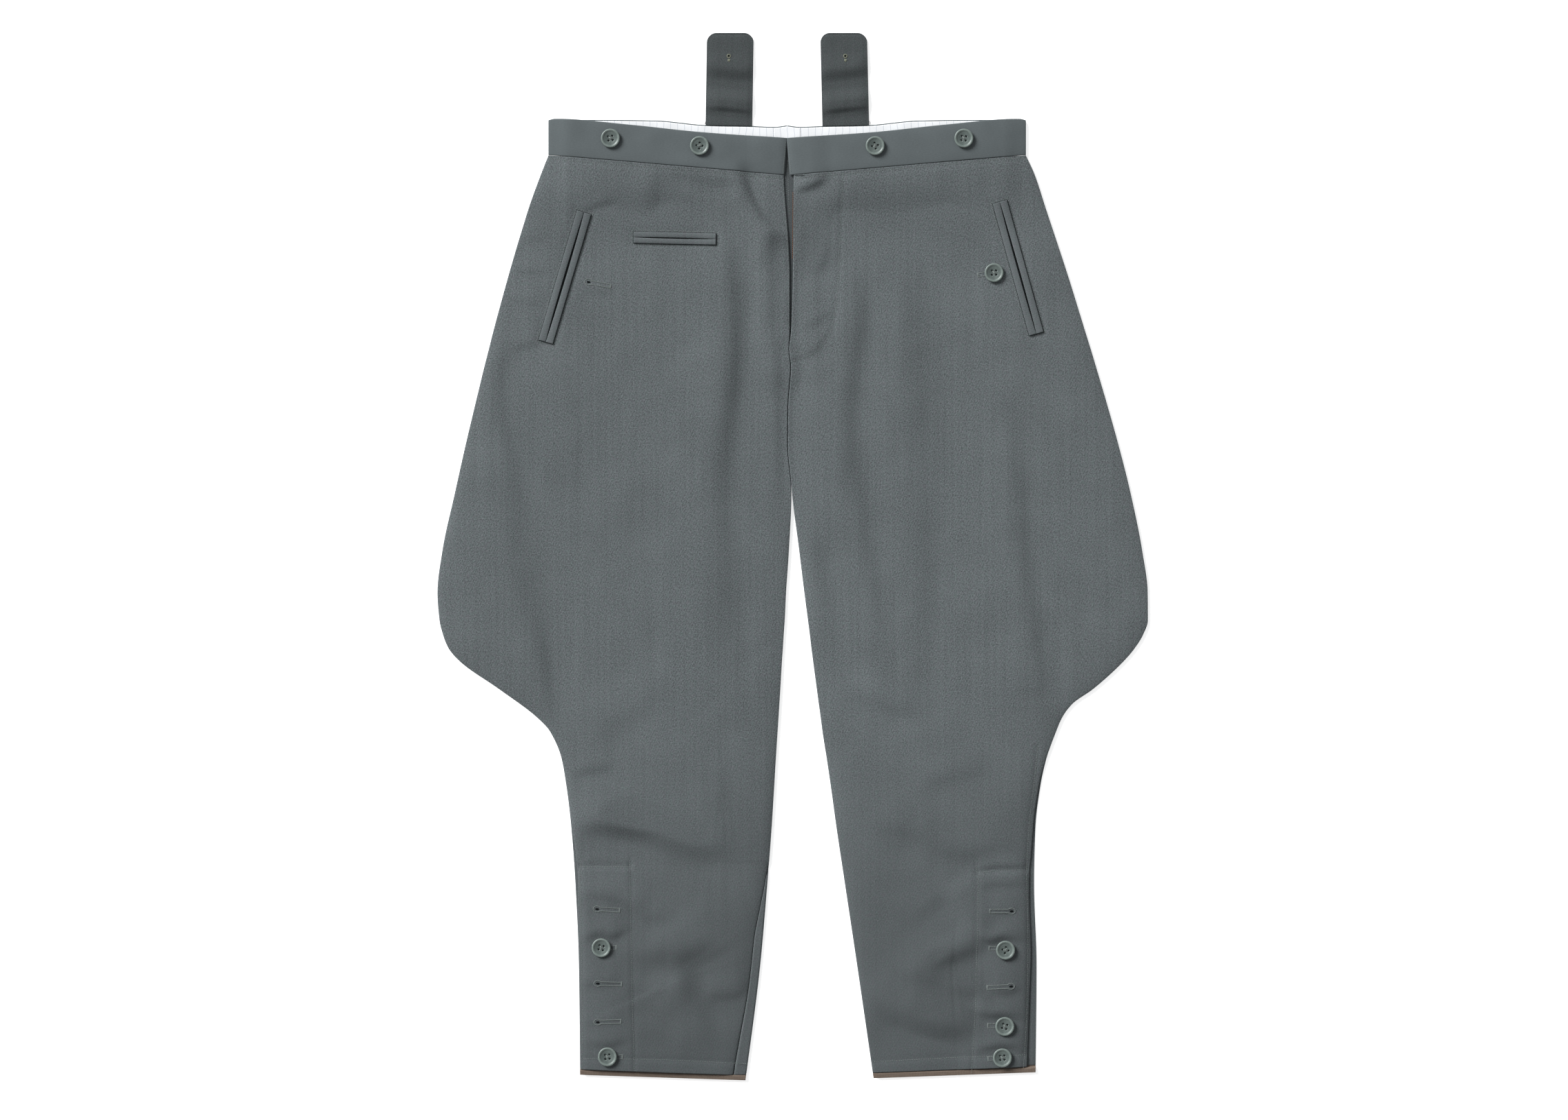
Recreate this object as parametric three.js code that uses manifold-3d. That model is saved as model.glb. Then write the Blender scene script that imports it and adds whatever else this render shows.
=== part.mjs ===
// Cavalry twill riding breeches, laid flat with the front up: wide at the thigh, close at the
// calf, buttoned from the knee to the hem.
// Millimetres. +X is the wearer's left, +Y is towards the waist, +Z is up from the surface
// that the breeches lie on. The origin is under the middle of the whole outline.
import Module from 'manifold-3d';
import * as THREE from 'three';
import { mergeVertices } from 'three/addons/utils/BufferGeometryUtils.js';

const wasm = await Module();
wasm.setup();

// ---- driving dimensions -------------------------------------------------------------------

const CLOTH = 1.6; // twill with its turnings
const LINING = 1.0;
const TAPE = 1.2;
const WELT = 1.0;
const GAP = 0.3; // between neighbouring pieces
const LAP_GAP = 0.4; // between the two fronts, from the end of the slit to the fork

const WAIST_SEAM = 370.5; // height of the fronts' waist seam at the centre
const SIDE_RISE = 19.5; // the waist seam is this much higher at the side
const BACK_RISE = 11.5; // and this much higher at the centre back
const HEM = -503.8; // height of the lowest corner of a front's hem
const RISE_FADE = 200; // the rows level out over this height below the waist
const HEM_FADE = 120; // and over this height above the hem

const BAND_HEIGHT = 35.5; // back waistband
const CENTER_BACK = -5.4;
const FRONT_SLIT_TOP = -5.7; // where the two front waistbands meet

const PUFF = 2.8; // air between front and back, well inside the edges
const PUFF_REACH = 9; // over which the fronts rise from their seams
const MOST_AIR = 3.6;

const BUTTON_RADIUS = 9.25;
const BUTTON_HEIGHT = 3.0;
const BUTTON_SIDES = 14;

const TAB_WIDTH = 45.5;
const TAB_TOP = 509.2;
const TAB_CORNER = 9.5;

// A table of rows with named columns.
function table(columns, rows) {
  return rows.map((row) => Object.fromEntries(columns.map((name, i) => [name, row[i]])));
}

// The outline of each leg, laid flat: the side edge, and the edge at the fly and the inseam.
const RIGHT_LEG = table(['height', 'outer', 'inner'], [
  [390, -237.5, -8.6],
  [370.5, -245.2, -8.4],
  [340, -256.3, -7.8],
  [273, -276.4, -6.4],
  [219, -291.1, -7.6],
  [201, -295.6, -3.9],
  [185, -299.7, -2.0],
  [147, -308.9, -4.6],
  [110, -317.7, -5.0],
  [62, -328.4, -1.2],
  [5, -340.7, -3.7],
  [-35, -345.4, -6.4],
  [-62, -343.4, -7.7],
  [-76, -340.0, -8.7],
  [-89, -334.7, -9.5],
  [-102, -323.5, -10.4],
  [-129, -285.2, -12.0],
  [-156, -249.0, -13.7],
  [-170, -236.0, -14.6],
  [-196, -224.8, -16.3],
  [-223, -220.1, -17.9],
  [-263, -215.4, -20.4],
  [-317, -211.4, -24.5],
  [-397, -208.0, -31.5],
  [-510, -206.7, -46.0],
]);
const LEFT_LEG = table(['height', 'outer', 'inner'], [
  [390, 226.8, 1.1],
  [370.5, 235.6, 1.0],
  [340, 245.6, 0.8],
  [273, 267.7, 0.3],
  [219, 284.4, -1.5],
  [201, 290.0, -3.4],
  [185, 294.8, -1.5],
  [147, 306.0, -4.1],
  [110, 316.4, -4.5],
  [62, 328.5, -0.7],
  [5, 340.0, 6.4],
  [-35, 345.2, 11.3],
  [-62, 345.4, 14.8],
  [-76, 340.7, 16.6],
  [-89, 332.7, 18.1],
  [-102, 321.6, 19.8],
  [-129, 291.9, 23.4],
  [-143, 272.2, 25.3],
  [-156, 262.3, 27.1],
  [-170, 256.2, 28.9],
  [-196, 247.0, 33.0],
  [-223, 241.0, 37.0],
  [-263, 236.2, 42.5],
  [-317, 234.8, 50.6],
  [-397, 237.2, 62.6],
  [-510, 236.2, 79.0],
]);

// How far the back panel shows past the front along the calf.
const BACK_STRIP = table(['height', 'right', 'left'], [
  [400, 0, 0],
  [-185, 0, 0],
  [-214, 0, 1.7],
  [-258, 1, 2.4],
  [-292, 2.7, 3.8],
  [-307, 3, 4.8],
  [-348, 1.2, 5.2],
  [-378, 0.7, 5.4],
  [-424, 0.6, 6.8],
  [-510, 0.6, 8.9],
]);

// Top edges of the waistband, by the distance from the centre.
const FRONT_BAND_TOP = table(['out', 'height'], [
  [0, 406.7],
  [82, 412.1],
  [152, 419.4],
  [226, 425.5],
  [232.5, 424.1],
]);
const BACK_BAND_TOP = table(['out', 'height'], [
  [0, 419.4],
  [12, 418.0],
  [36, 418.8],
  [77, 419.6],
  [128, 424.1],
  [184, 424.8],
  [226, 424.4],
  [232.5, 423.4],
]);

// How far the right back panel turns round the inseam onto the front, towards the hem.
const INSEAM_TURN = table(['height', 'width'], [
  [-322, 3.0],
  [-340, 5.0],
  [-374, 8.4],
  [-419, 8.8],
  [-465, 11.0],
  [-510, 12.9],
]);
const TURN_START = -322;

// Soft folds of the fronts: a line in plan, its half width, and its height (a trough is negative).
const FOLDS = table(['fromX', 'fromY', 'toX', 'toY', 'width', 'height'], [
  [-48, 365, -33, 336, 10, -2.2], // beside the fly, from the waist seam
  [-33, 336, -19, 322, 10, -2.0],
  [-58, 285, -52, 206, 12, -2.0], // down the right thigh
  [-52, 206, -62, 110, 12, -2.0],
  [-62, 110, -70, -60, 15, -1.2],
  [-35, 165, -39, -15, 13, 0.7],
  [-279, 170, -274, 72, 18, -2.0], // where the right wing begins
  [-274, 72, -256, -49, 18, -2.0],
  [-256, -49, -235, -150, 12, -2.5],
  [-134, -129, -190, -186, 15, -1.2],
  [-66, -29, -58, -129, 24, -1.0],
  [-187, -118, -134, -100, 18, 0.6],
  [-201, -263, -164, -266, 10, -2.8], // across the right knee
  [-164, -266, -130, -278, 11, -2.8],
  [-130, -278, -74, -289, 12, -2.2],
  [-185, -248, -100, -262, 13, 0.6],
  [-150, -384, -120, -390, 10, -2.6], // in the right calf
  [-120, -390, -72, -384, 10, -2.2],
  [-120, -391, -98, -418, 10, -1.6],
  [-98, -418, -80, -458, 10, -1.8],
  [61, 273, 63, 239, 11, -2.2], // down the left thigh
  [63, 239, 55, 139, 12, -2.6],
  [55, 139, 67, 38, 13, -2.4],
  [67, 38, 84, -66, 14, -1.8],
  [20, 170, 22, 60, 14, 0.7],
  [121, 340, 134, 105, 18, -1.0],
  [134, 105, 128, -96, 18, -1.0],
  [218, 139, 221, 72, 12, -1.8], // where the left wing begins
  [221, 72, 240, -103, 12, -2.0],
  [240, -103, 243, -143, 11, -2.4],
  [42, -58, 36, -120, 14, -1.5], // inside the left knee
  [77, -136, 114, -166, 11, -2.4],
  [154, -216, 188, -206, 13, -1.2],
  [100, -263, 154, -292, 14, -0.9],
  [148, -394, 171, -386, 10, -1.8], // in the left calf
  [94, -437, 128, -454, 10, -2.4],
  [128, -454, 168, -461, 10, -2.4],
]);

const WAIST_BUTTONS = table(['x', 'y'], [
  [-176.9, 406],
  [-90.4, 398.7],
  [80.1, 398.7],
  [166.2, 406],
]);
const POCKET_BUTTON = { x: 195.7, y: 275.7 };
const RIGHT_CALF_BUTTONS = table(['x', 'y'], [
  [-185.9, -379.9],
  [-179.9, -485.8],
]);
const LEFT_CALF_BUTTONS = table(['x', 'y'], [
  [206.7, -382.2],
  [206, -456.3],
  [203.7, -486.8],
]);

// Pocket mouths: the ends of the slit, and the width of each of the two jettings beside it.
const SIDE_POCKETS = table(['name', 'fromX', 'fromY', 'toX', 'toY', 'lip'], [
  ['right', -202.7, 334.3, -239.9, 208.4, 6],
  ['left', 201.3, 344.4, 236.8, 216.4, 6],
]);
const WATCH_POCKET = { fromX: -154.5, fromY: 310.2, toX: -74.5, toY: 308.4, lip: 5.5 };
const SLIT = 0.9; // between the two jettings

// The strip of cloth under the fly.
const FLY_STRIP = { middle: -3.5, halfWidth: 18, top: 402, bottom: 187 };

// ---- colours ------------------------------------------------------------------------------

const TWILL = new THREE.MeshStandardMaterial({ color: 0x5f6769, roughness: 0.95 });
const BAND_CLOTH = new THREE.MeshStandardMaterial({ color: 0x5b6567, roughness: 0.95 });
const TAB_CLOTH = new THREE.MeshStandardMaterial({ color: 0x474d4f, roughness: 0.95 });
const LINING_CLOTH = new THREE.MeshStandardMaterial({ color: 0xe6ebf2, roughness: 0.9 });
const TAPE_CLOTH = new THREE.MeshStandardMaterial({ color: 0x605a53, roughness: 0.9 });
const BUTTON_PLASTIC = new THREE.MeshStandardMaterial({ color: 0x7c8a86, roughness: 0.45 });

// ---- curves and levels --------------------------------------------------------------------

// 0 below a, 1 above b, smooth between.
function ramp(value, a, b) {
  const t = Math.min(1, Math.max(0, (value - a) / (b - a)));
  return t * t * (3 - 2 * t);
}

function lerp(a, b, t) {
  return a + (b - a) * t;
}

// A smooth curve through two columns of a table, with no overshoot at a turn.
function curve(rows, from, to) {
  const sorted = [...rows].sort((a, b) => a[from] - b[from]);
  const slope = (i) => (sorted[i + 1][to] - sorted[i][to]) / (sorted[i + 1][from] - sorted[i][from]);
  const last = sorted.length - 1;
  const tangent = (i) => {
    const before = slope(Math.max(0, i - 1));
    const after = slope(Math.min(last - 1, i));
    return before * after <= 0 ? 0 : (2 * before * after) / (before + after);
  };
  return (value) => {
    let i = 0;
    while (i < last - 1 && value > sorted[i + 1][from]) i += 1;
    const span = sorted[i + 1][from] - sorted[i][from];
    const t = Math.min(1, Math.max(0, (value - sorted[i][from]) / span));
    const bend = t * (1 - t);
    const line = lerp(sorted[i][to], sorted[i + 1][to], t);
    const pull = (1 - t) * (tangent(i) - slope(i)) - t * (tangent(i + 1) - slope(i));
    return line + bend * span * pull;
  };
}

const rightOuter = curve(RIGHT_LEG, 'height', 'outer');
const rightInner = curve(RIGHT_LEG, 'height', 'inner');
const leftOuter = curve(LEFT_LEG, 'height', 'outer');
const leftInnerCut = curve(LEFT_LEG, 'height', 'inner');
const leftInner = (y) => Math.max(leftInnerCut(y), rightInner(y) + LAP_GAP);
const rightStrip = curve(BACK_STRIP, 'height', 'right');
const leftStrip = curve(BACK_STRIP, 'height', 'left');
const inseamTurn = curve(INSEAM_TURN, 'height', 'width');

// The right front's inner edge stops at the seam where the back panel turns onto the front.
function rightFrontInner(y) {
  return rightInner(y) - (y > TURN_START ? 0 : inseamTurn(y) + GAP);
}
const frontBandTop = curve(FRONT_BAND_TOP, 'out', 'height');
const backBandTop = curve(BACK_BAND_TOP, 'out', 'height');

const FORK = 62; // height where the legs part
const SEAM_LEVEL = CLOTH + GAP; // underside of a front along its side seam and inseam
const LAYER = LINING + GAP; // what one hidden layer lifts the cloth above it by

// Height of a fold's surface at a point in plan.
function foldHeight(fold, x, y) {
  const dx = fold.toX - fold.fromX;
  const dy = fold.toY - fold.fromY;
  const along = ((x - fold.fromX) * dx + (y - fold.fromY) * dy) / (dx * dx + dy * dy);
  const t = Math.min(1, Math.max(0, along));
  const off = Math.hypot(x - fold.fromX - dx * t, y - fold.fromY - dy * t);
  return fold.height * Math.exp(-((off / fold.width) ** 2));
}

// 1 over the waistband lining, which ends before the side seams and below the waistband.
function overLining(x, y) {
  return (1 - ramp(Math.abs(x - CENTER_BACK), 210, 228)) * ramp(y, 300, 355);
}

// 1 over the fly's under-strip.
function overFlyStrip(x, y) {
  return (1 - ramp(Math.abs(x - FLY_STRIP.middle), 20, 42)) * ramp(y, 150, 184);
}

// The underside of the front pieces: it rests on the layers below it, rises with the air
// between front and back, and bends with the folds.
function frontUnderside(x, y) {
  const [outer, inner] = x < 0.5 * (rightInner(y) + leftInner(y))
    ? [rightOuter(y) + rightStrip(y), rightFrontInner(y)]
    : [leftOuter(y) - leftStrip(y), leftInner(y)];
  const fromSide = 1 - Math.exp(-Math.abs(x - outer) / PUFF_REACH);
  const fromInseam = 1 - Math.exp(-Math.abs(x - inner) / PUFF_REACH);
  const belowWaist = 1 - ramp(y, 300, WAIST_SEAM);
  const aboveHem = ramp(y, HEM, HEM + 60);
  const folds = FOLDS.reduce((sum, fold) => sum + foldHeight(fold, x, y), 0);
  const air = fromSide * fromInseam * (PUFF * belowWaist * lerp(0.5, 1, aboveHem) + folds);
  const layers = LAYER * (overLining(x, y) + overFlyStrip(x, y));
  return SEAM_LEVEL + layers + Math.min(MOST_AIR - LAYER * overFlyStrip(x, y), Math.max(0, air));
}

function frontTop(x, y) {
  return frontUnderside(x, y) + CLOTH;
}

// ---- walls --------------------------------------------------------------------------------

// A closed wall over a grid of points in plan: rows run towards -Y, columns towards +X.
function wall(grid, underside, thickness) {
  const rows = grid.length;
  const columns = grid[0].length;
  const positions = [];
  const faces = [];
  for (const lift of [thickness, 0]) {
    for (const row of grid) {
      for (const [x, y] of row) positions.push(x, y, underside(x, y) + lift);
    }
  }
  const under = rows * columns;
  const at = (r, c) => r * columns + c;
  for (let r = 0; r < rows - 1; r += 1) {
    for (let c = 0; c < columns - 1; c += 1) {
      const [a, b, d, e] = [at(r, c), at(r + 1, c), at(r + 1, c + 1), at(r, c + 1)];
      faces.push(a, b, d, a, d, e);
      faces.push(under + a, under + d, under + b, under + a, under + e, under + d);
    }
  }
  const side = (a, b) => faces.push(a, under + a, under + b, a, under + b, b);
  for (let c = 0; c < columns - 1; c += 1) {
    side(at(0, c + 1), at(0, c));
    side(at(rows - 1, c), at(rows - 1, c + 1));
  }
  for (let r = 0; r < rows - 1; r += 1) {
    side(at(r, 0), at(r + 1, 0));
    side(at(r + 1, columns - 1), at(r, columns - 1));
  }
  const geometry = new THREE.BufferGeometry();
  geometry.setAttribute('position', new THREE.Float32BufferAttribute(positions, 3));
  geometry.setIndex(faces);
  return geometry;
}

// Rows between a left and a right edge, each a function of t from 0 (top) to 1 (bottom).
function ruledGrid(leftEdge, rightEdge, rowSteps, columnSteps) {
  return rowSteps.map((t) => {
    const [x0, y0] = leftEdge(t);
    const [x1, y1] = rightEdge(t);
    return columnSteps.map((u) => [lerp(x0, x1, u), lerp(y0, y1, u)]);
  });
}

function evenSteps(count) {
  return Array.from({ length: count + 1 }, (_, i) => i / count);
}

// ---- legs ---------------------------------------------------------------------------------

// Row heights of the leg panels, closer where the wing turns in to the knee. One row lies at
// the start of the inseam's turn.
function rowHeights(coarse, fine) {
  const heights = [WAIST_SEAM];
  while (heights.at(-1) > HEM + coarse * 1.5) {
    const height = heights.at(-1);
    const next = height - (height < -45 && height > -200 ? fine : coarse);
    const crosses = height > TURN_START + 0.5 && next < TURN_START;
    heights.push(crosses ? TURN_START + 0.1 : next);
    if (crosses) heights.push(TURN_START);
  }
  return [...heights, HEM];
}

// Columns of a front, closer near its two edges, where the cloth rolls down.
const FRONT_COLUMNS = [
  0, 0.015, 0.045, 0.09, 0.14, 0.195, 0.255, 0.315, 0.375, 0.435, 0.5, 0.565, 0.625, 0.685,
  0.74, 0.79, 0.84, 0.885, 0.925, 0.96, 0.985, 1,
];
const BACK_COLUMNS = evenSteps(2);

// One end of each row: it rises towards the waist and the hem by the given amounts.
function rowEnd(edge, waistShift, hemShift) {
  return (height) => {
    const waist = waistShift * ramp(height, WAIST_SEAM - RISE_FADE, WAIST_SEAM);
    const hem = hemShift * (1 - ramp(height, HEM, HEM + HEM_FADE));
    const y = height + waist + hem;
    return [edge(y), y];
  };
}

const HEM_SHIFT = {
  rightOuter: 5.3,
  rightInner: 0,
  leftInner: 2.0,
  leftOuter: 7.8,
};
const BACK_HEM = 1.5; // the backs end this much above the fronts, where the tape begins

function frontPanels() {
  const heights = rowHeights(16.5, 13);
  const right = ruledGrid(
    rowEnd((y) => rightOuter(y) + rightStrip(y), SIDE_RISE, HEM_SHIFT.rightOuter),
    rowEnd(rightFrontInner, 0, HEM_SHIFT.rightInner),
    heights,
    FRONT_COLUMNS,
  );
  const left = ruledGrid(
    rowEnd(leftInner, 0, HEM_SHIFT.leftInner),
    rowEnd((y) => leftOuter(y) - leftStrip(y), SIDE_RISE, HEM_SHIFT.leftOuter),
    heights,
    FRONT_COLUMNS,
  );
  return [
    ['front_right', wall(right, frontUnderside, CLOTH), TWILL],
    ['front_left', wall(left, frontUnderside, CLOTH), TWILL],
  ];
}

// The seat seam runs straight from the centre back to the fork, and the inseam follows the leg.
function seatSeam(inner, side) {
  return (y) => {
    if (y < FORK) return inner(y);
    const t = (y - FORK) / (WAIST_SEAM - FORK);
    return lerp(inner(FORK), CENTER_BACK + side * 0.5 * GAP, t);
  };
}

function backPanels() {
  const heights = rowHeights(28, 12);
  const flat = () => 0;
  const right = ruledGrid(
    rowEnd(rightOuter, SIDE_RISE, HEM_SHIFT.rightOuter + BACK_HEM),
    rowEnd(seatSeam(rightInner, -1), BACK_RISE, HEM_SHIFT.rightInner + BACK_HEM),
    heights,
    BACK_COLUMNS,
  );
  const left = ruledGrid(
    rowEnd(seatSeam(leftInner, 1), BACK_RISE, HEM_SHIFT.leftInner + BACK_HEM),
    rowEnd(leftOuter, SIDE_RISE, HEM_SHIFT.leftOuter + BACK_HEM),
    heights,
    BACK_COLUMNS,
  );
  return [
    ['back_right', toGeometry(toSolid(wall(right, flat, CLOTH)).add(turnedInseam(heights))), TWILL],
    ['back_left', wall(left, flat, CLOTH), TWILL],
  ];
}

// The strip of the right back panel that turns up round the inseam and lies level with the front.
function turnedInseam(heights) {
  const rows = heights.filter((height) => height <= TURN_START);
  const end = (edge) => rowEnd(edge, 0, HEM_SHIFT.rightInner + BACK_HEM);
  const strip = ruledGrid(end((y) => rightInner(y) - inseamTurn(y)), end(rightInner), rows, [0, 1]);
  const fold = ruledGrid(end((y) => rightInner(y) - CLOTH), end(rightInner), rows, [0, 1]);
  return toSolid(wall(strip, () => SEAM_LEVEL, CLOTH))
    .add(toSolid(wall(fold, () => 0.5 * CLOTH, SEAM_LEVEL + 0.5 * CLOTH)));
}

// Tape inside each hem: it shows below the cloth.
const TAPE_SHOWS = 5.3;

function hemTape(name, left, right) {
  const edge = ([edgeX, shift]) => (t) => {
    const y = HEM + shift + lerp(BACK_HEM - GAP, -TAPE_SHOWS, t);
    return [edgeX(y), y];
  };
  const grid = ruledGrid(edge(left), edge(right), evenSteps(1), evenSteps(10));
  return [name, wall(grid, () => 0, TAPE), TAPE_CLOTH];
}

// ---- waistband ----------------------------------------------------------------------------

const BAND_SIDE = { right: -237.5, left: 226.8 };
const SLIT_LOW = { right: -8.4, left: 1.0 }; // the front slit, at the waist seam
const LINING_END = 208; // the lining stops this far from the centre back
const LINING_INSET = 0.9; // the waistband's cloth shows above its lining
const CENTER_PIECE = 13; // half width of the lining piece over the centre back

// Height of the fronts' waist seam, a straight line from the centre to the side.
function frontSeam(x) {
  const [center, side] = x < CENTER_BACK
    ? [SLIT_LOW.right, BAND_SIDE.right]
    : [SLIT_LOW.left, BAND_SIDE.left];
  return lerp(WAIST_SEAM, WAIST_SEAM + SIDE_RISE, (x - center) / (side - center)) + GAP;
}

function backSeam(x) {
  const side = x < CENTER_BACK ? BAND_SIDE.right : BAND_SIDE.left;
  const t = (x - CENTER_BACK) / (side - CENTER_BACK);
  return lerp(WAIST_SEAM + BACK_RISE, WAIST_SEAM + SIDE_RISE, t) + GAP;
}

// A piece of band between two x at its top, two at its foot, and two height curves.
function bandGrid(top, foot, topHeight, footHeight, columns, rows) {
  return evenSteps(rows).map((v) => evenSteps(columns).map((u) => {
    const topX = lerp(top[0], top[1], u);
    const footX = lerp(foot[0], foot[1], u);
    return [lerp(topX, footX, v), lerp(topHeight(topX), footHeight(footX), v)];
  }));
}

function frontBands() {
  const topHeight = (x) => frontBandTop(Math.abs(x - CENTER_BACK));
  const meet = [FRONT_SLIT_TOP - 0.5 * GAP, FRONT_SLIT_TOP + 0.5 * GAP];
  const right = bandGrid(
    [BAND_SIDE.right, meet[0]], [BAND_SIDE.right, SLIT_LOW.right], topHeight, frontSeam, 20, 3,
  );
  const left = bandGrid(
    [meet[1], BAND_SIDE.left], [SLIT_LOW.left, BAND_SIDE.left], topHeight, frontSeam, 20, 3,
  );
  return [
    ['waistband_front_right', wall(right, frontUnderside, CLOTH), BAND_CLOTH],
    ['waistband_front_left', wall(left, frontUnderside, CLOTH), BAND_CLOTH],
  ];
}

function backBands() {
  const topHeight = (x) => backBandTop(Math.abs(x - CENTER_BACK));
  const spans = {
    right: [BAND_SIDE.right, CENTER_BACK - 0.5 * GAP],
    left: [CENTER_BACK + 0.5 * GAP, BAND_SIDE.left],
  };
  return Object.entries(spans).map(([side, span]) => {
    const grid = bandGrid(span, span, topHeight, backSeam, 20, 1);
    return [`waistband_back_${side}`, wall(grid, () => 0, CLOTH), BAND_CLOTH];
  });
}

function bandLinings() {
  const topHeight = (x) => backBandTop(Math.abs(x - CENTER_BACK)) - LINING_INSET;
  const footHeight = (x) => backBandTop(Math.abs(x - CENTER_BACK)) - BAND_HEIGHT;
  const nearCenter = CENTER_PIECE + GAP;
  const spans = {
    waistband_lining_right: [CENTER_BACK - LINING_END, CENTER_BACK - nearCenter],
    lining_center_back: [CENTER_BACK - CENTER_PIECE, CENTER_BACK + CENTER_PIECE],
    waistband_lining_left: [CENTER_BACK + nearCenter, CENTER_BACK + LINING_END],
  };
  return Object.entries(spans).map(([name, span]) => {
    const columns = name === 'lining_center_back' ? 8 : 18;
    const grid = bandGrid(span, span, topHeight, footHeight, columns, 1);
    return [name, wall(grid, () => CLOTH + GAP, LINING), LINING_CLOTH];
  });
}

// The fly's under-strip, between the fronts and the layers below them.
function flyStrip() {
  const { middle, halfWidth, top, bottom } = FLY_STRIP;
  const edge = (side) => (t) => [middle + side * halfWidth, lerp(top, bottom, t)];
  const underside = (x, y) => SEAM_LEVEL + LAYER * overLining(x, y);
  const grid = ruledGrid(edge(-1), edge(1), evenSteps(14), evenSteps(1));
  return ['fly_strip', wall(grid, underside, LINING), TWILL];
}

// ---- back tabs ----------------------------------------------------------------------------

const TABS = table(['name', 'footX', 'topX'], [
  ['tab_right', -62, -60.6],
  ['tab_left', 51.6, 49.6],
]);

// Ripples of a tab, by the distance below its top.
const TAB_RIPPLE = table(['below', 'lift'], [
  [0, 0.9],
  [14, 0.3],
  [41, 0],
  [59, 2.2],
  [77, 0.1],
  [100, 0],
]);
const tabLift = curve(TAB_RIPPLE, 'below', 'lift');

// A strip with a rounded top, whose foot meets the back waistband.
function backTab({ name, footX, topX }) {
  const foot = backBandTop(Math.abs(footX - CENTER_BACK)) + GAP;
  const halfWidth = (below) => {
    const rise = Math.max(0, TAB_CORNER - below);
    return 0.5 * TAB_WIDTH - TAB_CORNER + Math.sqrt(TAB_CORNER ** 2 - rise ** 2);
  };
  const belows = [0, 0.5, 1.5, 3.2, 6, TAB_CORNER, 16, 24, 32, 41, 47, 53, 59, 65, 71, 77, 84];
  const edge = (side) => (below) => {
    const y = TAB_TOP - below;
    const middle = lerp(topX, footX, below / (TAB_TOP - foot));
    return [middle + side * halfWidth(below), y];
  };
  const footRow = (x) => [x, backBandTop(Math.abs(x - CENTER_BACK)) + GAP];
  const columns = evenSteps(3);
  const grid = ruledGrid(edge(-1), edge(1), belows, columns);
  grid.push(columns.map((u) => footRow(footX + (u - 0.5) * TAB_WIDTH)));
  return [name, wall(grid, (x, y) => tabLift(TAB_TOP - y), CLOTH), TAB_CLOTH];
}

// ---- pockets and buttons ------------------------------------------------------------------

// A flat strip beside a slit, lying on the front: side is +1 or -1 across the slit.
function welt(name, { fromX, fromY, toX, toY, lip }, side) {
  const length = Math.hypot(toX - fromX, toY - fromY);
  const across = [-(toY - fromY) / length, (toX - fromX) / length];
  const near = side * 0.5 * SLIT;
  const far = side * (0.5 * SLIT + lip);
  const steps = evenSteps(Math.ceil(length / 11));
  const grid = steps.map((t) => [near, 0.5 * (near + far), far].map((off) => [
    lerp(fromX, toX, t) + across[0] * off,
    lerp(fromY, toY, t) + across[1] * off,
  ]));
  return [name, outward(wall(grid, (x, y) => frontTop(x, y) + GAP, WELT)), TWILL];
}

// Turns a closed body's faces outward where its grid ran the other way round.
function outward(geometry) {
  const position = geometry.getAttribute('position');
  const index = geometry.getIndex();
  const [a, b, c] = [0, 1, 2].map(() => new THREE.Vector3());
  let volume = 0;
  for (let i = 0; i < index.count; i += 3) {
    [a, b, c].forEach((corner, k) => corner.fromBufferAttribute(position, index.getX(i + k)));
    volume += a.dot(b.clone().cross(c));
  }
  if (volume < 0) geometry.setIndex([...index.array].reverse());
  return geometry;
}

function pocketWelts() {
  const sides = SIDE_POCKETS.flatMap((pocket) => {
    const outer = pocket.name === 'right' ? -1 : 1;
    return [
      welt(`pocket_welt_${pocket.name}_outer`, pocket, outer),
      welt(`pocket_welt_${pocket.name}_inner`, pocket, -outer),
    ];
  });
  return [
    ...sides,
    welt('watch_welt_upper', WATCH_POCKET, 1),
    welt('watch_welt_lower', WATCH_POCKET, -1),
  ];
}

function toSolid(geometry) {
  const bare = geometry.clone();
  bare.deleteAttribute('normal');
  bare.deleteAttribute('uv');
  const merged = mergeVertices(bare, 1e-4);
  return new wasm.Manifold(new wasm.Mesh({
    numProp: 3,
    vertProperties: Float32Array.from(merged.getAttribute('position').array),
    triVerts: Uint32Array.from(merged.getIndex().array),
  }));
}

function toGeometry(solid) {
  const mesh = solid.getMesh();
  const geometry = new THREE.BufferGeometry();
  geometry.setAttribute('position', new THREE.Float32BufferAttribute(mesh.vertProperties, 3));
  geometry.setIndex([...mesh.triVerts]);
  return geometry;
}

// A four-hole button: a raised rim round a shallow dish.
const BUTTON_PROFILE = table(['radius', 'height'], [
  [0, 0],
  [0.7 * BUTTON_RADIUS, 0],
  [BUTTON_RADIUS, 0.45 * BUTTON_HEIGHT],
  [0.93 * BUTTON_RADIUS, BUTTON_HEIGHT],
  [0.72 * BUTTON_RADIUS, 0.8 * BUTTON_HEIGHT],
  [0, 0.7 * BUTTON_HEIGHT],
]);
const HOLE_RADIUS = 0.95;
const HOLE_SPREAD = 1.75; // from the middle, along X and along Y

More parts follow.
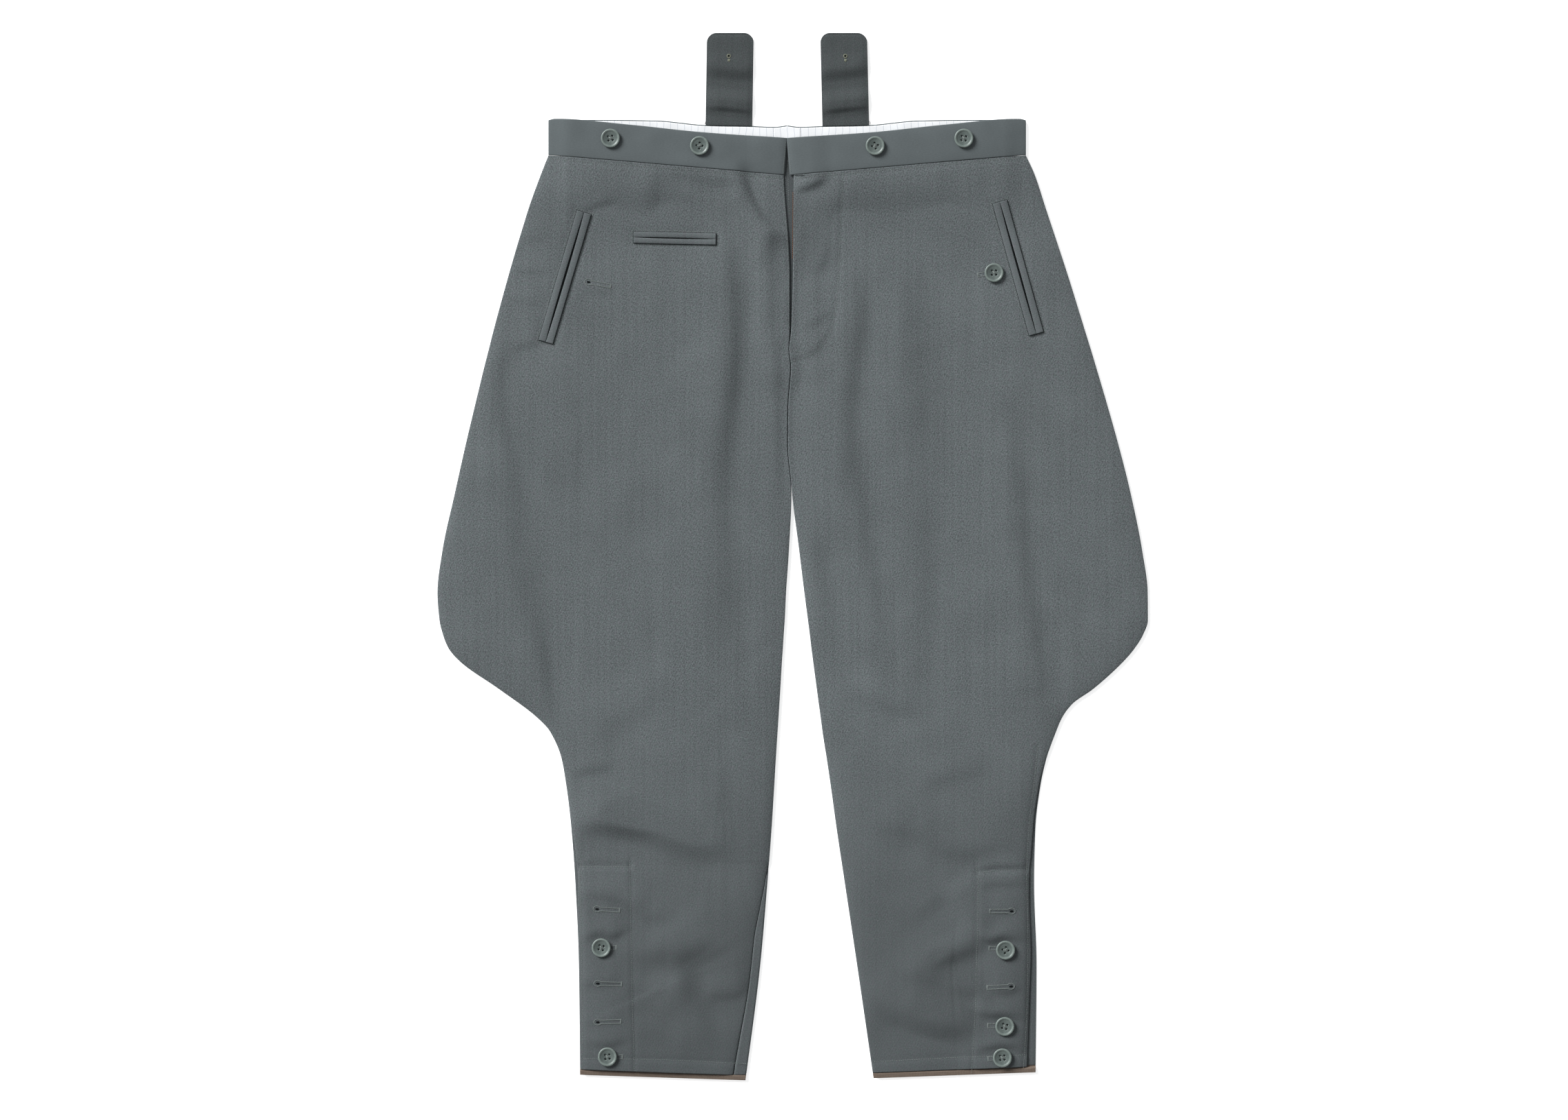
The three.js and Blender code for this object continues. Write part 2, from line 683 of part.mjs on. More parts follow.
function buttonGeometry() {
  const profile = BUTTON_PROFILE.map(({ radius, height }) => new THREE.Vector2(radius, height));
  const disc = new THREE.LatheGeometry(profile, BUTTON_SIDES).rotateX(Math.PI / 2);
  let solid = toSolid(disc);
  for (const [dx, dy] of [[-1, -1], [1, -1], [1, 1], [-1, 1]]) {
    const drill = new THREE.CylinderGeometry(HOLE_RADIUS, HOLE_RADIUS, 3 * BUTTON_HEIGHT, 6)
      .rotateX(Math.PI / 2)
      .translate(dx * HOLE_SPREAD, dy * HOLE_SPREAD, 0);
    solid = solid.subtract(toSolid(drill));
  }
  return toGeometry(solid);
}

// The button stands just clear of the highest cloth under it.
function buttonAt(name, { x, y }, geometry) {
  const round = evenSteps(12).map((t) => [
    x + BUTTON_RADIUS * Math.cos(2 * Math.PI * t),
    y + BUTTON_RADIUS * Math.sin(2 * Math.PI * t),
  ]);
  const highest = Math.max(frontTop(x, y), ...round.map(([px, py]) => frontTop(px, py)));
  return [name, geometry.clone().translate(x, y, highest + GAP), BUTTON_PLASTIC];
}

function buttons() {
  const geometry = buttonGeometry();
  const row = (name, places) => places.map((place, i) => (
    buttonAt(`${name}_${i + 1}`, place, geometry)
  ));
  return [
    ...row('button_waist', WAIST_BUTTONS),
    buttonAt('button_pocket_left', POCKET_BUTTON, geometry),
    ...row('button_calf_right', RIGHT_CALF_BUTTONS),
    ...row('button_calf_left', LEFT_CALF_BUTTONS),
  ];
}

// ---- the garment --------------------------------------------------------------------------

const pieces = [
  ...backPanels(),
  ...frontPanels(),
  ...backBands(),
  ...bandLinings(),
  flyStrip(),
  ...frontBands(),
  ...TABS.map(backTab),
  hemTape('hem_tape_right', [rightOuter, HEM_SHIFT.rightOuter], [rightInner, 0]),
  hemTape('hem_tape_left', [leftInner, HEM_SHIFT.leftInner], [leftOuter, HEM_SHIFT.leftOuter]),
  ...pocketWelts(),
  ...buttons(),
];

const breeches = new THREE.Group();
for (const [name, geometry, material] of pieces) {
  geometry.computeVertexNormals();
  const mesh = new THREE.Mesh(geometry, material);
  mesh.name = name;
  breeches.add(mesh);
}

export default breeches;
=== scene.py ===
"""The looks of a pair of cavalry twill riding breeches, laid flat with the front up.

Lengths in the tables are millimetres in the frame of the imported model: +X is the wearer's left,
+Y is towards the waist and +Z is up from the surface that the breeches lie on. They become
metres where a mesh is made. Each shell lies on the form of the solid that it stands for.
"""

import math

import bpy
import numpy as np
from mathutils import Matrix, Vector


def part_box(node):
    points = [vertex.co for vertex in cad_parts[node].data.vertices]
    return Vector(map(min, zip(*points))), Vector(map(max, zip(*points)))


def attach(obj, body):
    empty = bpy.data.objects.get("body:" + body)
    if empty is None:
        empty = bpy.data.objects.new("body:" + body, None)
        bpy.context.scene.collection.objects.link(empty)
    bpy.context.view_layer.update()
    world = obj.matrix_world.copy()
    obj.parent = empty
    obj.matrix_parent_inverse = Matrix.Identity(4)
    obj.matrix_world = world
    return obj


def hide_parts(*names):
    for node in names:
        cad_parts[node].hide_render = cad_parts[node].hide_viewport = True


MM = 0.001

# ---- driving dimensions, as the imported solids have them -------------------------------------

SOLID_CLOTH = 1.6  # thickness of the solid panels
SOLID_GAP = 0.3
CLOTH = 1.4  # thickness of the twill that shows
THIN_CLOTH = 0.9  # lining, fly strip, tape and pocket lips
SOLID_LINING = 1.0
FLOOR_GAP = 0.05

WAIST_SEAM = 370.5  # height of the fronts' waist seam at the centre
SIDE_RISE = 19.5  # the waist seam is this much higher at the side
BACK_RISE = 11.5  # and this much higher at the centre back
HEM = -503.8
RISE_FADE = 200
HEM_FADE = 120
TAPE_SHOWS = 5.3

BAND_HEIGHT = 35.5
CENTER_BACK = -5.4
SLIT_TOP = -5.7  # where the two front waistbands meet
FORK = 62  # height where the legs part

EDGE_DROP = 0.4  # the fronts roll down this much at their seams, to touch the backs
EDGE_REACH = 2.5
MOST_AIR = 6.0

TAB_WIDTH = 45.5
TAB_TOP = 509.2
TAB_CORNER = 9.5

SEAM_LEVEL = SOLID_CLOTH + SOLID_GAP
LAYER = SOLID_LINING + SOLID_GAP

FRONT_STEP = 2.4  # size of the mesh's squares
BACK_STEP = 6.0
FINE_STEP = 1.5


def table(columns, rows):
    """A table as one array for each named column."""
    return {name: np.array([row[i] for row in rows], float) for i, name in enumerate(columns)}


# The outline of each leg, laid flat: the side edge, and the edge at the fly and the inseam.
RIGHT_LEG = table(("height", "outer", "inner"), [
    (390, -237.5, -8.6),
    (370.5, -245.2, -8.4),
    (340, -256.3, -6.6),
    (322, -261.9, -5.0),
    (300, -268.6, -3.6),
    (273, -276.4, -2.7),
    (219, -291.1, -2.7),
    (201, -295.6, -3.7),
    (185, -299.7, -2.0),
    (147, -308.9, -4.6),
    (110, -317.7, -5.0),
    (62, -328.4, -1.2),
    (5, -340.7, -3.7),
    (-35, -345.4, -6.4),
    (-62, -343.4, -7.7),
    (-76, -340.0, -8.7),
    (-89, -334.7, -9.5),
    (-102, -323.5, -10.4),
    (-129, -285.2, -12.0),
    (-156, -249.0, -13.7),
    (-170, -236.0, -14.6),
    (-196, -224.8, -16.3),
    (-223, -220.1, -17.9),
    (-263, -215.4, -20.4),
    (-317, -211.4, -24.5),
    (-397, -208.0, -31.5),
    (-510, -206.7, -46.0),
])
LEFT_LEG = table(("height", "outer", "inner"), [
    (390, 226.8, 1.1),
    (370.5, 235.6, 1.0),
    (340, 245.6, 0.8),
    (273, 267.7, 0.3),
    (219, 284.4, -1.5),
    (201, 290.0, -3.4),
    (185, 294.8, -1.5),
    (147, 306.0, -4.1),
    (110, 316.4, -4.5),
    (62, 328.5, -0.7),
    (5, 340.0, 6.4),
    (-35, 345.2, 11.3),
    (-62, 345.4, 14.8),
    (-76, 340.7, 16.6),
    (-89, 332.7, 18.1),
    (-102, 321.6, 19.8),
    (-129, 291.9, 23.4),
    (-143, 272.2, 25.3),
    (-156, 262.3, 27.1),
    (-170, 256.2, 28.9),
    (-196, 247.0, 33.0),
    (-223, 241.0, 37.0),
    (-263, 236.2, 42.5),
    (-317, 234.8, 50.6),
    (-397, 237.2, 62.6),
    (-510, 236.2, 79.0),
])

# How far the back panel shows past the front along the calf.
BACK_STRIP = table(("height", "right", "left"), [
    (400, 0, 0),
    (-185, 0, 0),
    (-214, 0, 1.7),
    (-258, 1, 2.4),
    (-292, 2.7, 3.8),
    (-307, 3, 4.8),
    (-348, 1.2, 5.2),
    (-378, 0.7, 5.4),
    (-424, 0.6, 6.8),
    (-510, 0.6, 8.9),
])

# How far the right back panel turns round the inseam onto the front, towards the hem.
INSEAM_TURN = table(("height", "width"), [
    (-300, 1.1),
    (-318, 2.4),
    (-340, 5.0),
    (-374, 8.4),
    (-419, 8.8),
    (-465, 11.0),
    (-510, 12.9),
])
TURN_START = -300
TURN_GROWS = 16  # the fold rises from the back's level to the front's over this height
TURN_NOTCH = 3
TURN_FLAT = 0.4  # the turned cloth lies flat on the front for at least this

# Air between front and back, and how far in from the edges the front takes to rise over it.
PUFF = table(("height", "air", "reach"), [
    (390, 1.7, 12),
    (372, 1.7, 12),
    (325, 1.1, 14),
    (240, 2.2, 18),
    (0, 2.8, 22),
    (-150, 3.0, 18),
    (-280, 3.6, 13),
    (-440, 3.4, 13),
    (-510, 1.6, 10),
])

# Top edges of the waistband, by the distance from the centre.
FRONT_BAND_TOP = table(("out", "height"), [
    (0, 406.7),
    (82, 412.1),
    (152, 419.4),
    (226, 425.5),
    (232.5, 424.1),
])
BACK_BAND_TOP = table(("out", "height"), [
    (0, 419.4),
    (12, 418.0),
    (36, 418.8),
    (77, 419.6),
    (128, 424.1),
    (184, 424.8),
    (226, 424.4),
    (232.5, 423.4),
])

BAND_SIDE = {"right": -237.5, "left": 226.8}
SLIT_LOW = {"right": -8.4, "left": 1.0}
BAND_SLIT = {"right": -8.0, "left": -2.9}  # feet of the two front waistbands at the slit
SLIT_REACH = 3.5  # the right front rolls down into the slit over this
HEM_SHIFT = {"right_outer": 5.3, "right_inner": 0.0, "left_inner": 2.0, "left_outer": 7.8}
BACK_HEM = 1.5
FLY_STRIP = {"middle": -3.5, "half_width": 18, "top": 405, "bottom": 187}

# ---- folds, stitching and buttonholes -------------------------------------------------------

# Soft folds of the fronts: points in plan, width and steepness. The cloth is higher on the left
# hand of the way that the points run.
RIGHT_FOLDS = [
    ([(-260, 352), (-180, 348), (-100, 344), (-20, 338)], 28, 0.15),
    ([(-140, 379), (-105, 371), (-74, 364), (-40, 362)], 12, 0.24),
    ([(2, 304), (-12, 316), (-26, 326), (-38, 346), (-48, 368), (-56, 392)], 10, 0.62),
    ([(-26, 190), (-20, 240), (-20, 300), (-16, 350)], 10, 0.18),
    ([(-14, 40), (-12, 110), (-13, 180), (-18, 235)], 7, 0.26),
    ([(-72, 40), (-60, 130), (-55, 200), (-55, 250), (-62, 310), (-78, 372)], 17, 0.25),
    ([(-46, -170), (-60, -60), (-66, 20), (-68, 90), (-60, 165), (-56, 250)], 19, 0.14),
    ([(-130, 290), (-134, 340), (-131, 390)], 12, 0.10),
    ([(-262, 30), (-270, 80), (-279, 120), (-285, 160), (-280, 200), (-266, 218)], 11, 0.16),
    ([(-236, -175), (-240, -120), (-252, -60), (-264, 0), (-272, 70), (-280, 140)], 24, 0.14),
    ([(-228, -176), (-235, -140), (-240, -105), (-250, -60)], 9, 0.14),
    ([(-276, 202), (-258, 205), (-236, 210)], 6, 0.18),
    ([(-276, 279), (-252, 276), (-230, 276)], 5, 0.18),
    ([(-274, 312), (-254, 308), (-234, 310)], 6, 0.12),
    ([(-280, 252), (-258, 246), (-238, 246)], 6, 0.12),
    ([(-210, 330), (-192, 338), (-168, 347)], 6, 0.28),
    ([(-207, 262), (-190, 257), (-170, 256)], 5, 0.16),
    ([(-30, -140), (-62, -110), (-76, -60), (-74, -10)], 26, 0.08),
    ([(-206, -184), (-170, -163), (-138, -140), (-106, -122)], 18, 0.07),
    ([(-218, -213), (-196, -208), (-168, -205)], 8, 0.21),
    ([(-226, -268), (-196, -264), (-164, -268), (-132, -276), (-100, -286), (-66, -291), (-30, -284)],
     20, 0.34),
    ([(-216, -265), (-188, -263), (-154, -267), (-116, -277)], 12, 0.18),
    ([(-212, -299), (-185, -296), (-156, -300)], 4, 0.15),
    ([(-216, -328), (-186, -331), (-160, -338), (-140, -348)], 9, 0.24),
    ([(-172, -340), (-145, -350), (-112, -354)], 11, 0.16),
    ([(-202, -342), (-187, -344), (-172, -345)], 5, 0.14),
    ([(-210, -378), (-190, -367), (-172, -369), (-152, -354)], 6, 0.34),
    ([(-176, -382), (-140, -388), (-112, -389), (-84, -385), (-44, -384)], 18, 0.19),
    ([(-152, -384), (-128, -396), (-104, -404)], 11, 0.11),
    ([(-58, -480), (-80, -455), (-97, -432), (-104, -408), (-118, -388)], 18, 0.22),
    ([(-92, -428), (-62, -428), (-30, -422)], 10, 0.18),
    ([(-210, -413), (-188, -416), (-162, -413)], 7, 0.22),
    ([(-162, -414), (-142, -422), (-122, -424)], 8, 0.11),
    ([(-210, -451), (-188, -454), (-162, -452)], 6, 0.14),
    ([(-210, -470), (-182, -475), (-154, -468)], 6, 0.24),
    ([(-156, -424), (-132, -440), (-100, -448)], 16, 0.10),
]
LEFT_FOLDS = [
    ([(-6, 336), (60, 344), (140, 348), (240, 352)], 28, 0.15),
    ([(-6, 350), (10, 356), (24, 362), (40, 374)], 6, 0.50),
    ([(18, 268), (33, 288), (39, 318), (42, 362)], 8, 0.24),
    ([(-2, 262), (10, 300), (12, 350)], 14, 0.16),
    ([(6, 220), (24, 228), (42, 242)], 6, 0.14),
    ([(2, 190), (20, 196), (40, 210)], 5, 0.14),
    ([(-4, 156), (3, 182), (0, 212)], 7, 0.26),
    ([(52, 10), (55, 110), (59, 175), (66, 225), (64, 260), (48, 308)], 15, 0.22),
    ([(94, -120), (83, -50), (74, 0), (66, 50), (58, 110), (56, 170)], 15, 0.16),
    ([(118, -60), (124, 60), (121, 140), (118, 220), (121, 300), (114, 400)], 28, 0.12),
    ([(124, -150), (132, -60), (128, 20), (124, 110)], 18, 0.08),
    ([(250, -180), (243, -120), (234, -60), (224, 20), (220, 90), (212, 190)], 14, 0.18),
    ([(50, -90), (30, -30), (20, 45)], 14, 0.16),
    ([(30, -40), (46, -72), (58, -96), (80, -124)], 14, 0.14),
    ([(48, -126), (78, -140), (102, -150), (136, -160)], 13, 0.20),
    ([(116, -230), (146, -217), (168, -212), (204, -204)], 14, 0.13),
    ([(56, -258), (110, -268), (150, -288), (188, -288), (232, -268)], 15, 0.19),
    ([(174, -304), (202, -301), (232, -303)], 4, 0.31),
    ([(174, -322), (204, -318), (234, -320)], 6, 0.18),
    ([(142, -322), (160, -344), (176, -372)], 15, 0.23),
    ([(166, -358), (190, -374), (206, -370), (232, -376)], 6, 0.47),
    ([(112, -404), (154, -391), (176, -383), (200, -380)], 13, 0.30),
    ([(190, -343), (206, -346), (222, -342)], 5, 0.21),
    ([(138, -416), (168, -424), (188, -424)], 10, 0.18),
    ([(186, -419), (206, -424), (226, -419)], 6, 0.27),
    ([(64, -428), (100, -446), (128, -458), (156, -463), (196, -456)], 19, 0.38),
    ([(166, -438), (190, -446), (206, -446), (232, -452)], 6, 0.45),
    ([(170, -482), (194, -477), (208, -476), (232, -480)], 5, 0.41),
    ([(92, -402), (130, -412), (166, -408)], 15, 0.14),
]

# Lines of stitching on the fronts and the waistband, as points in plan.
FRONT_STITCHES = {
    "waist_right": [(-237, 386.6), (-200, 383), (-130, 377.4), (-60, 371.6), (-12, 367.4)],
    "waist_left": [(4, 367.4), (60, 372.6), (120, 378), (190, 384.6), (226, 387.6)],
    "slit_right": [(-9.5, 366), (-7.9, 340), (-6.2, 322), (-4.8, 300), (-4.0, 273), (-3.9, 225)],
    "slit_band_right": [(-6.9, 403), (-8.2, 387), (-9.5, 371)],
    "slit_band_left": [(-4.3, 403), (-2.9, 388), (-1.4, 373)],
    "fly_curve": [(49, 371), (47, 330), (45.6, 300), (42.3, 245), (36, 216), (27, 203),
                  (18, 196.5), (5, 191), (-1.4, 189)],
    "fly_tack": [(-2, 200), (6, 199), (15, 197)],
    "calf_right_top": [(-206.5, -301.5), (-158.5, -301.5)],
    "calf_right_top_end": [(-158.3, -301.8), (-157.8, -295)],
    "calf_right_top_start": [(-206.3, -301.8), (-206.6, -295)],
    "calf_right_inner": [(-158, -299), (-156.4, -400), (-153.8, -499)],
    "calf_right_outer": [(-207.0, -301), (-205.5, -360), (-204.6, -430), (-204.0, -496)],
    "hem_right": [(-204, -487.6), (-119, -489.1), (-42.5, -493.1)],
    "calf_left_top": [(179.2, -306.9), (200, -305), (226.8, -304.2)],
    "calf_left_top_start": [(179.0, -307), (178.4, -299.5)],
    "calf_left_top_end": [(227.0, -304.5), (227.6, -298)],
    "calf_left_inner": [(180.6, -308.2), (179.2, -377.2), (177.2, -446.2), (173.9, -501.8)],
    "calf_left_outer": [(227.5, -308.2), (228.8, -377.2), (227.5, -446.2), (224.4, -497.1)],
    "calf_left_side": [(238.5, -184), (234.4, -223), (229.8, -263), (227.5, -306)],
    "hem_left": [(79.1, -491.1), (173.9, -486.1), (225, -484.5)],
}

# The doubled cloth of the plackets, hems and fly: corners in plan, raised by one turning.
RAISED_AREAS = [
    [(-208, -302), (-157, -302), (-153, -512), (-208, -512)],
    [(180, -307), (229, -305), (226, -512), (173, -512)],
    [(-208, -488), (-44, -493), (-44, -520), (-208, -520)],
    [(78, -491), (174, -486), (238, -485), (238, -520), (78, -520)],
    [(-4, 374), (49, 374), (45.6, 300), (42.3, 245), (36, 216), (18, 196), (-4, 189)],
]
RAISED_BY = 0.35
RAISED_EDGE = 1.6

# Keyhole buttonholes: the middle of the eye and the far end.
BUTTONHOLES = {
    "front_right": {
        "pocket": ((-198.3, 266.7), (-177.2, 262.6)),
        "calf_1": ((-190.0, -342.4), (-168.5, -343.7)),
        "calf_2": ((-189.3, -414.7), (-166.5, -415.4)),
        "calf_3": ((-189.3, -452.2), (-167.2, -451.6)),
    },
    "front_left": {
        "calf_1": ((212.7, -344.4), (191.9, -344.4)),
        "calf_2": ((212.1, -417.4), (189.3, -418.7)),
    },
}
# Where a button stands in its hole, the end of the hole still shows.
HOLE_TAILS = {
    "front_right": [((-181, -379.9), (-171.8, -379.9)), ((-175.5, -486.1), (-165.8, -486.1))],
    "front_left": [
        ((190.5, 275.3), (180.6, 273.4)),
        ((200, -380.6), (191.3, -380.6)),
        ((199, -455.6), (190, -455.6)),
        ((198, -487.4), (190.3, -487.8)),
    ],
}

SIDE_POCKETS = {
    "right": {"from": (-202.7, 334.3), "to": (-239.9, 208.4), "lip": 6.7, "mouth": 1.0},
    "left": {"from": (201.3, 344.4), "to": (236.8, 216.4), "lip": 6.7, "mouth": 0.9},
}
WATCH_POCKET = {"from": (-154.5, 310.2), "to": (-74.5, 308.4), "lip": 5.1, "mouth": 0.6}
SLIT = 0.9

TABS = {
    "tab_right": {"foot": -62.0, "top": -60.6, "outside": -1},
    "tab_left": {"foot": 51.6, "top": 49.6, "outside": 1},
}
TAB_RIPPLE = table(("below", "lift"), [
    (0, 0.7),
    (18, 1.4),
    (34, 3.0),
    (47, 0.1),
    (53, 0.3),
    (67, 3.4),
    (72, 3.2),
    (82, 0.3),
    (90, 0.5),
    (100, 0.1),
])

# ---- curves and levels ----------------------------------------------------------------------


def ramp(value, low, high):
    """0 below low, 1 above high, smooth between."""
    t = np.clip((value - low) / (high - low), 0, 1)
    return t * t * (3 - 2 * t)


def lerp(a, b, t):
    return a + (b - a) * t


def curve(rows, source, target):
    """A smooth curve through two columns of a table, with no overshoot at a turn."""
    order = np.argsort(rows[source])
    xs, ys = rows[source][order], rows[target][order]
    slopes = np.diff(ys) / np.diff(xs)
    before = np.append(slopes[0], slopes)
    after = np.append(slopes, slopes[-1])
    turning = before * after <= 0
    tangents = np.where(turning, 0, 2 * before * after / np.where(turning, 1, before + after))

    def value(x):
        x = np.asarray(x, float)
        i = np.minimum(np.searchsorted(xs[1:], x), len(slopes) - 1)
        span = xs[i + 1] - xs[i]
        t = np.clip((x - xs[i]) / span, 0, 1)
        pull = (1 - t) * (tangents[i] - slopes[i]) - t * (tangents[i + 1] - slopes[i])
        return lerp(ys[i], ys[i + 1], t) + t * (1 - t) * span * pull

    return value


right_outer = curve(RIGHT_LEG, "height", "outer")
right_inner = curve(RIGHT_LEG, "height", "inner")
left_outer = curve(LEFT_LEG, "height", "outer")
left_inner_cut = curve(LEFT_LEG, "height", "inner")
right_strip = curve(BACK_STRIP, "height", "right")
left_strip = curve(BACK_STRIP, "height", "left")
inseam_turn = curve(INSEAM_TURN, "height", "width")
front_band_height = curve(FRONT_BAND_TOP, "out", "height")
back_band_height = curve(BACK_BAND_TOP, "out", "height")
tab_lift = curve(TAB_RIPPLE, "below", "lift")
puff_air = curve(PUFF, "height", "air")
puff_reach = curve(PUFF, "height", "reach")


def left_inner(y):
    return np.maximum(left_inner_cut(y), right_inner(y) + SOLID_GAP)


def right_front_outer(y):
    return right_outer(y) + right_strip(y)


def left_front_outer(y):
    return left_outer(y) - left_strip(y)


def turn_radius(y):
    """Radius of the back panel's fold round the right inseam."""
    full = 0.5 * (SEAM_LEVEL - FLOOR_GAP)
    return full * (1 - ramp(y, TURN_START - TURN_GROWS, TURN_START))


def turn_seam(y):
    """Where the turned cloth of the right back meets the right front."""
    least = turn_radius(y) + 0.5 * CLOTH + TURN_FLAT
    return right_inner(y) - np.maximum(inseam_turn(y), least)


def right_front_inner(y):
    """The right front stops at the seam where the back panel turns onto the front."""
    return lerp(turn_seam(y) - SOLID_GAP, right_inner(y), ramp(y, TURN_START, TURN_START + TURN_NOTCH))


def smooth_line(points, steps=6):
    """A smooth line through given points (Catmull-Rom)."""
    points = np.array(points, float)
    padded = np.vstack([2 * points[0] - points[1], points, 2 * points[-1] - points[-2]])
    t = np.linspace(0, 1, steps, endpoint=False)[:, None]
    parts = []
    for a, b, c, d in zip(padded, padded[1:], padded[2:], padded[3:]):
        bend = 2 * a - 5 * b + 4 * c - d
        twist = 3 * b - a - 3 * c + d
        parts.append(0.5 * (2 * b + (c - a) * t + bend * t**2 + twist * t**3))
    return np.vstack([*parts, points[-1:]])


def closed(corners):
    """A line of points that ends where it starts."""
    return np.vstack([corners, corners[:1]])


def nearest_on_line(x, y, line):
    """Distance of plan points from a line, the side (1 is left of its way), and the share passed."""
    nearest = np.full(np.shape(x), np.inf)
    hand = np.zeros(np.shape(x))
    passed = np.zeros(np.shape(x))
    for i, ((ax, ay), (bx, by)) in enumerate(zip(line, line[1:])):
        dx, dy = bx - ax, by - ay
        t = np.clip(((x - ax) * dx + (y - ay) * dy) / (dx * dx + dy * dy), 0, 1)
        off = np.hypot(x - ax - dx * t, y - ay - dy * t)
        closer = off < nearest
        nearest = np.where(closer, off, nearest)
        hand = np.where(closer, np.sign(dx * (y - ay) - dy * (x - ax)), hand)
        passed = np.where(closer, (i + t) / (len(line) - 1), passed)
    return nearest, hand, passed


def inside(x, y, corners):
    """True where plan points lie inside a polygon."""
    found = np.zeros(np.shape(x), bool)
    for (ax, ay), (bx, by) in zip(corners, corners[1:] + corners[:1]):
        crosses = (ay > y) != (by > y)
        edge = ax + (y - ay) * (bx - ax) / (by - ay if by != ay else 1)
        found ^= crosses & (x < edge)
    return found


LATTICE = 256  # random values along each side of the grid that soft_noise reads


def soft_noise(x, y, cell, seed):
    """Smooth random values from -1 to 1, with the given cell size."""
    lattice = np.random.default_rng(seed).uniform(-1, 1, (LATTICE, LATTICE))
    u, v = np.asarray(x) / cell + LATTICE // 2, np.asarray(y) / cell + LATTICE // 2
    i, j = np.floor(u).astype(int), np.floor(v).astype(int)
    s, t = ramp(u - i, 0, 1), ramp(v - j, 0, 1)
    i, j = i % (LATTICE - 1), j % (LATTICE - 1)
    low = lerp(lattice[i, j], lattice[i + 1, j], s)
    high = lerp(lattice[i, j + 1], lattice[i + 1, j + 1], s)
    return lerp(low, high, t)


def dents(x, y, height, cell, seed):
    """Random unevenness of a cloth, up to a height."""
    return height * soft_noise(x, y, cell, seed)


LINING_FADES = (210, 228)  # the lining ends under the waistband this far from the centre back
LINING_RISES = (300, 355)  # heights between which the fronts rise over the lining
STRIP_FADES = (20, 42)  # the same two for the fly strip
STRIP_RISES = (150, 184)


def over_lining(x, y):
    """1 where the fronts lie over the waistband's lining, 0 where they don't."""
    return (1 - ramp(np.abs(x - CENTER_BACK), *LINING_FADES)) * ramp(y, *LINING_RISES)


def over_fly_strip(x, y):
    return (1 - ramp(np.abs(x - FLY_STRIP["middle"]), *STRIP_FADES)) * ramp(y, *STRIP_RISES)


def edge_distance(x, y, edge):
    """Distance in plan from an edge that is given as a function of the height."""
    slope = edge(y + 1) - edge(y - 1)
    return np.abs(x - edge(y)) / np.hypot(1, 0.5 * slope)


FOLD_FOLLOWED = 6  # a fold is followed this many widths out from its line
FOLD_EASES = 0.35  # share of a fold's length over which each end eases in
FOLD_SPENT = 4  # widths out where a fold has spent most of its height


def fold_relief(x, y):
    """Height of all the soft folds together: each is a slope that eases out on both sides."""
    total = np.zeros(np.shape(x))
    for points, width, steepness in [*RIGHT_FOLDS, *LEFT_FOLDS]:
        line = smooth_line(points, 3)
        low = line.min(0) - FOLD_FOLLOWED * width
        high = line.max(0) + FOLD_FOLLOWED * width
        near = (x > low[0]) & (x < high[0]) & (y > low[1]) & (y < high[1])
        off, hand, passed = nearest_on_line(x[near], y[near], line)
        ends = ramp(passed, 0, FOLD_EASES) * (1 - ramp(passed, 1 - FOLD_EASES, 1))
        u = hand * off / width
        slope = steepness * width * ends * u / (1 + u * u)
        total[near] += slope * np.exp(-((u / FOLD_SPENT) ** 2))
    return total


STITCH_TROUGH = 0.4
STITCH_PULL = 2.2


def sewn_relief(x, y):
    """Turnings raise the cloth, and each line of stitching pulls it down a little."""
    total = np.zeros(np.shape(x))
    for corners in RAISED_AREAS:
        side = np.where(inside(x, y, corners), 1, -1)
        depth = side * nearest_on_line(x, y, closed(corners))[0]
        total = np.maximum(total, RAISED_BY * ramp(depth, -RAISED_EDGE, RAISED_EDGE))
    seams = [smooth_line(points, 2) for points in FRONT_STITCHES.values()]
    for line in seams + [closed(box) for box in POCKET_BOXES]:
        off = nearest_on_line(x, y, line)[0]
        total -= STITCH_TROUGH * np.exp(-((off / STITCH_PULL) ** 2))
    return total


FRONT_DENTS = [
    {"height": 0.3, "cell": 46, "seed": 3},
    {"height": 0.15, "cell": 17, "seed": 8},
]
FOLD_EDGE = 3  # the folds die out over this at the panel's edges
AIR_LOW = 0.3  # how softly the cloth comes down onto the layer below
AIR_HIGH = 0.2  # how softly it keeps below the most air
SLIT_STARTS = (185, 215)  # heights between which the inner edge turns from inseam to slit
INSEAM_STARTS = (0, 60)  # going down, the fronts begin to roll at the inseam between these heights
LAP_LIFT = 1.3  # the left front laps over the right along the fly
LAP_REACH = 9
LAP_STARTS = (40, 110)
LAP_ENDS = (330, 380)


def above_zero(value, softness):
    """The value where it is above zero, easing to nothing below it."""
    return 0.5 * (value + np.sqrt(value**2 + softness**2))


def front_edge_distances(x, y, right):
    """Distance of points of a front from its side edge, and from its edge at inseam or slit."""
    outer = np.where(
        right, edge_distance(x, y, right_front_outer), edge_distance(x, y, left_front_outer)
    )
    inner = np.where(right, edge_distance(x, y, right_front_inner), edge_distance(x, y, left_inner))
    band_foot = np.where(right, BAND_SLIT["right"], BAND_SLIT["left"])
    band_slit = lerp(band_foot, SLIT_TOP, (y - WAIST_SEAM) / BAND_HEIGHT)
    return outer, np.where(y > WAIST_SEAM, np.abs(x - band_slit), inner)


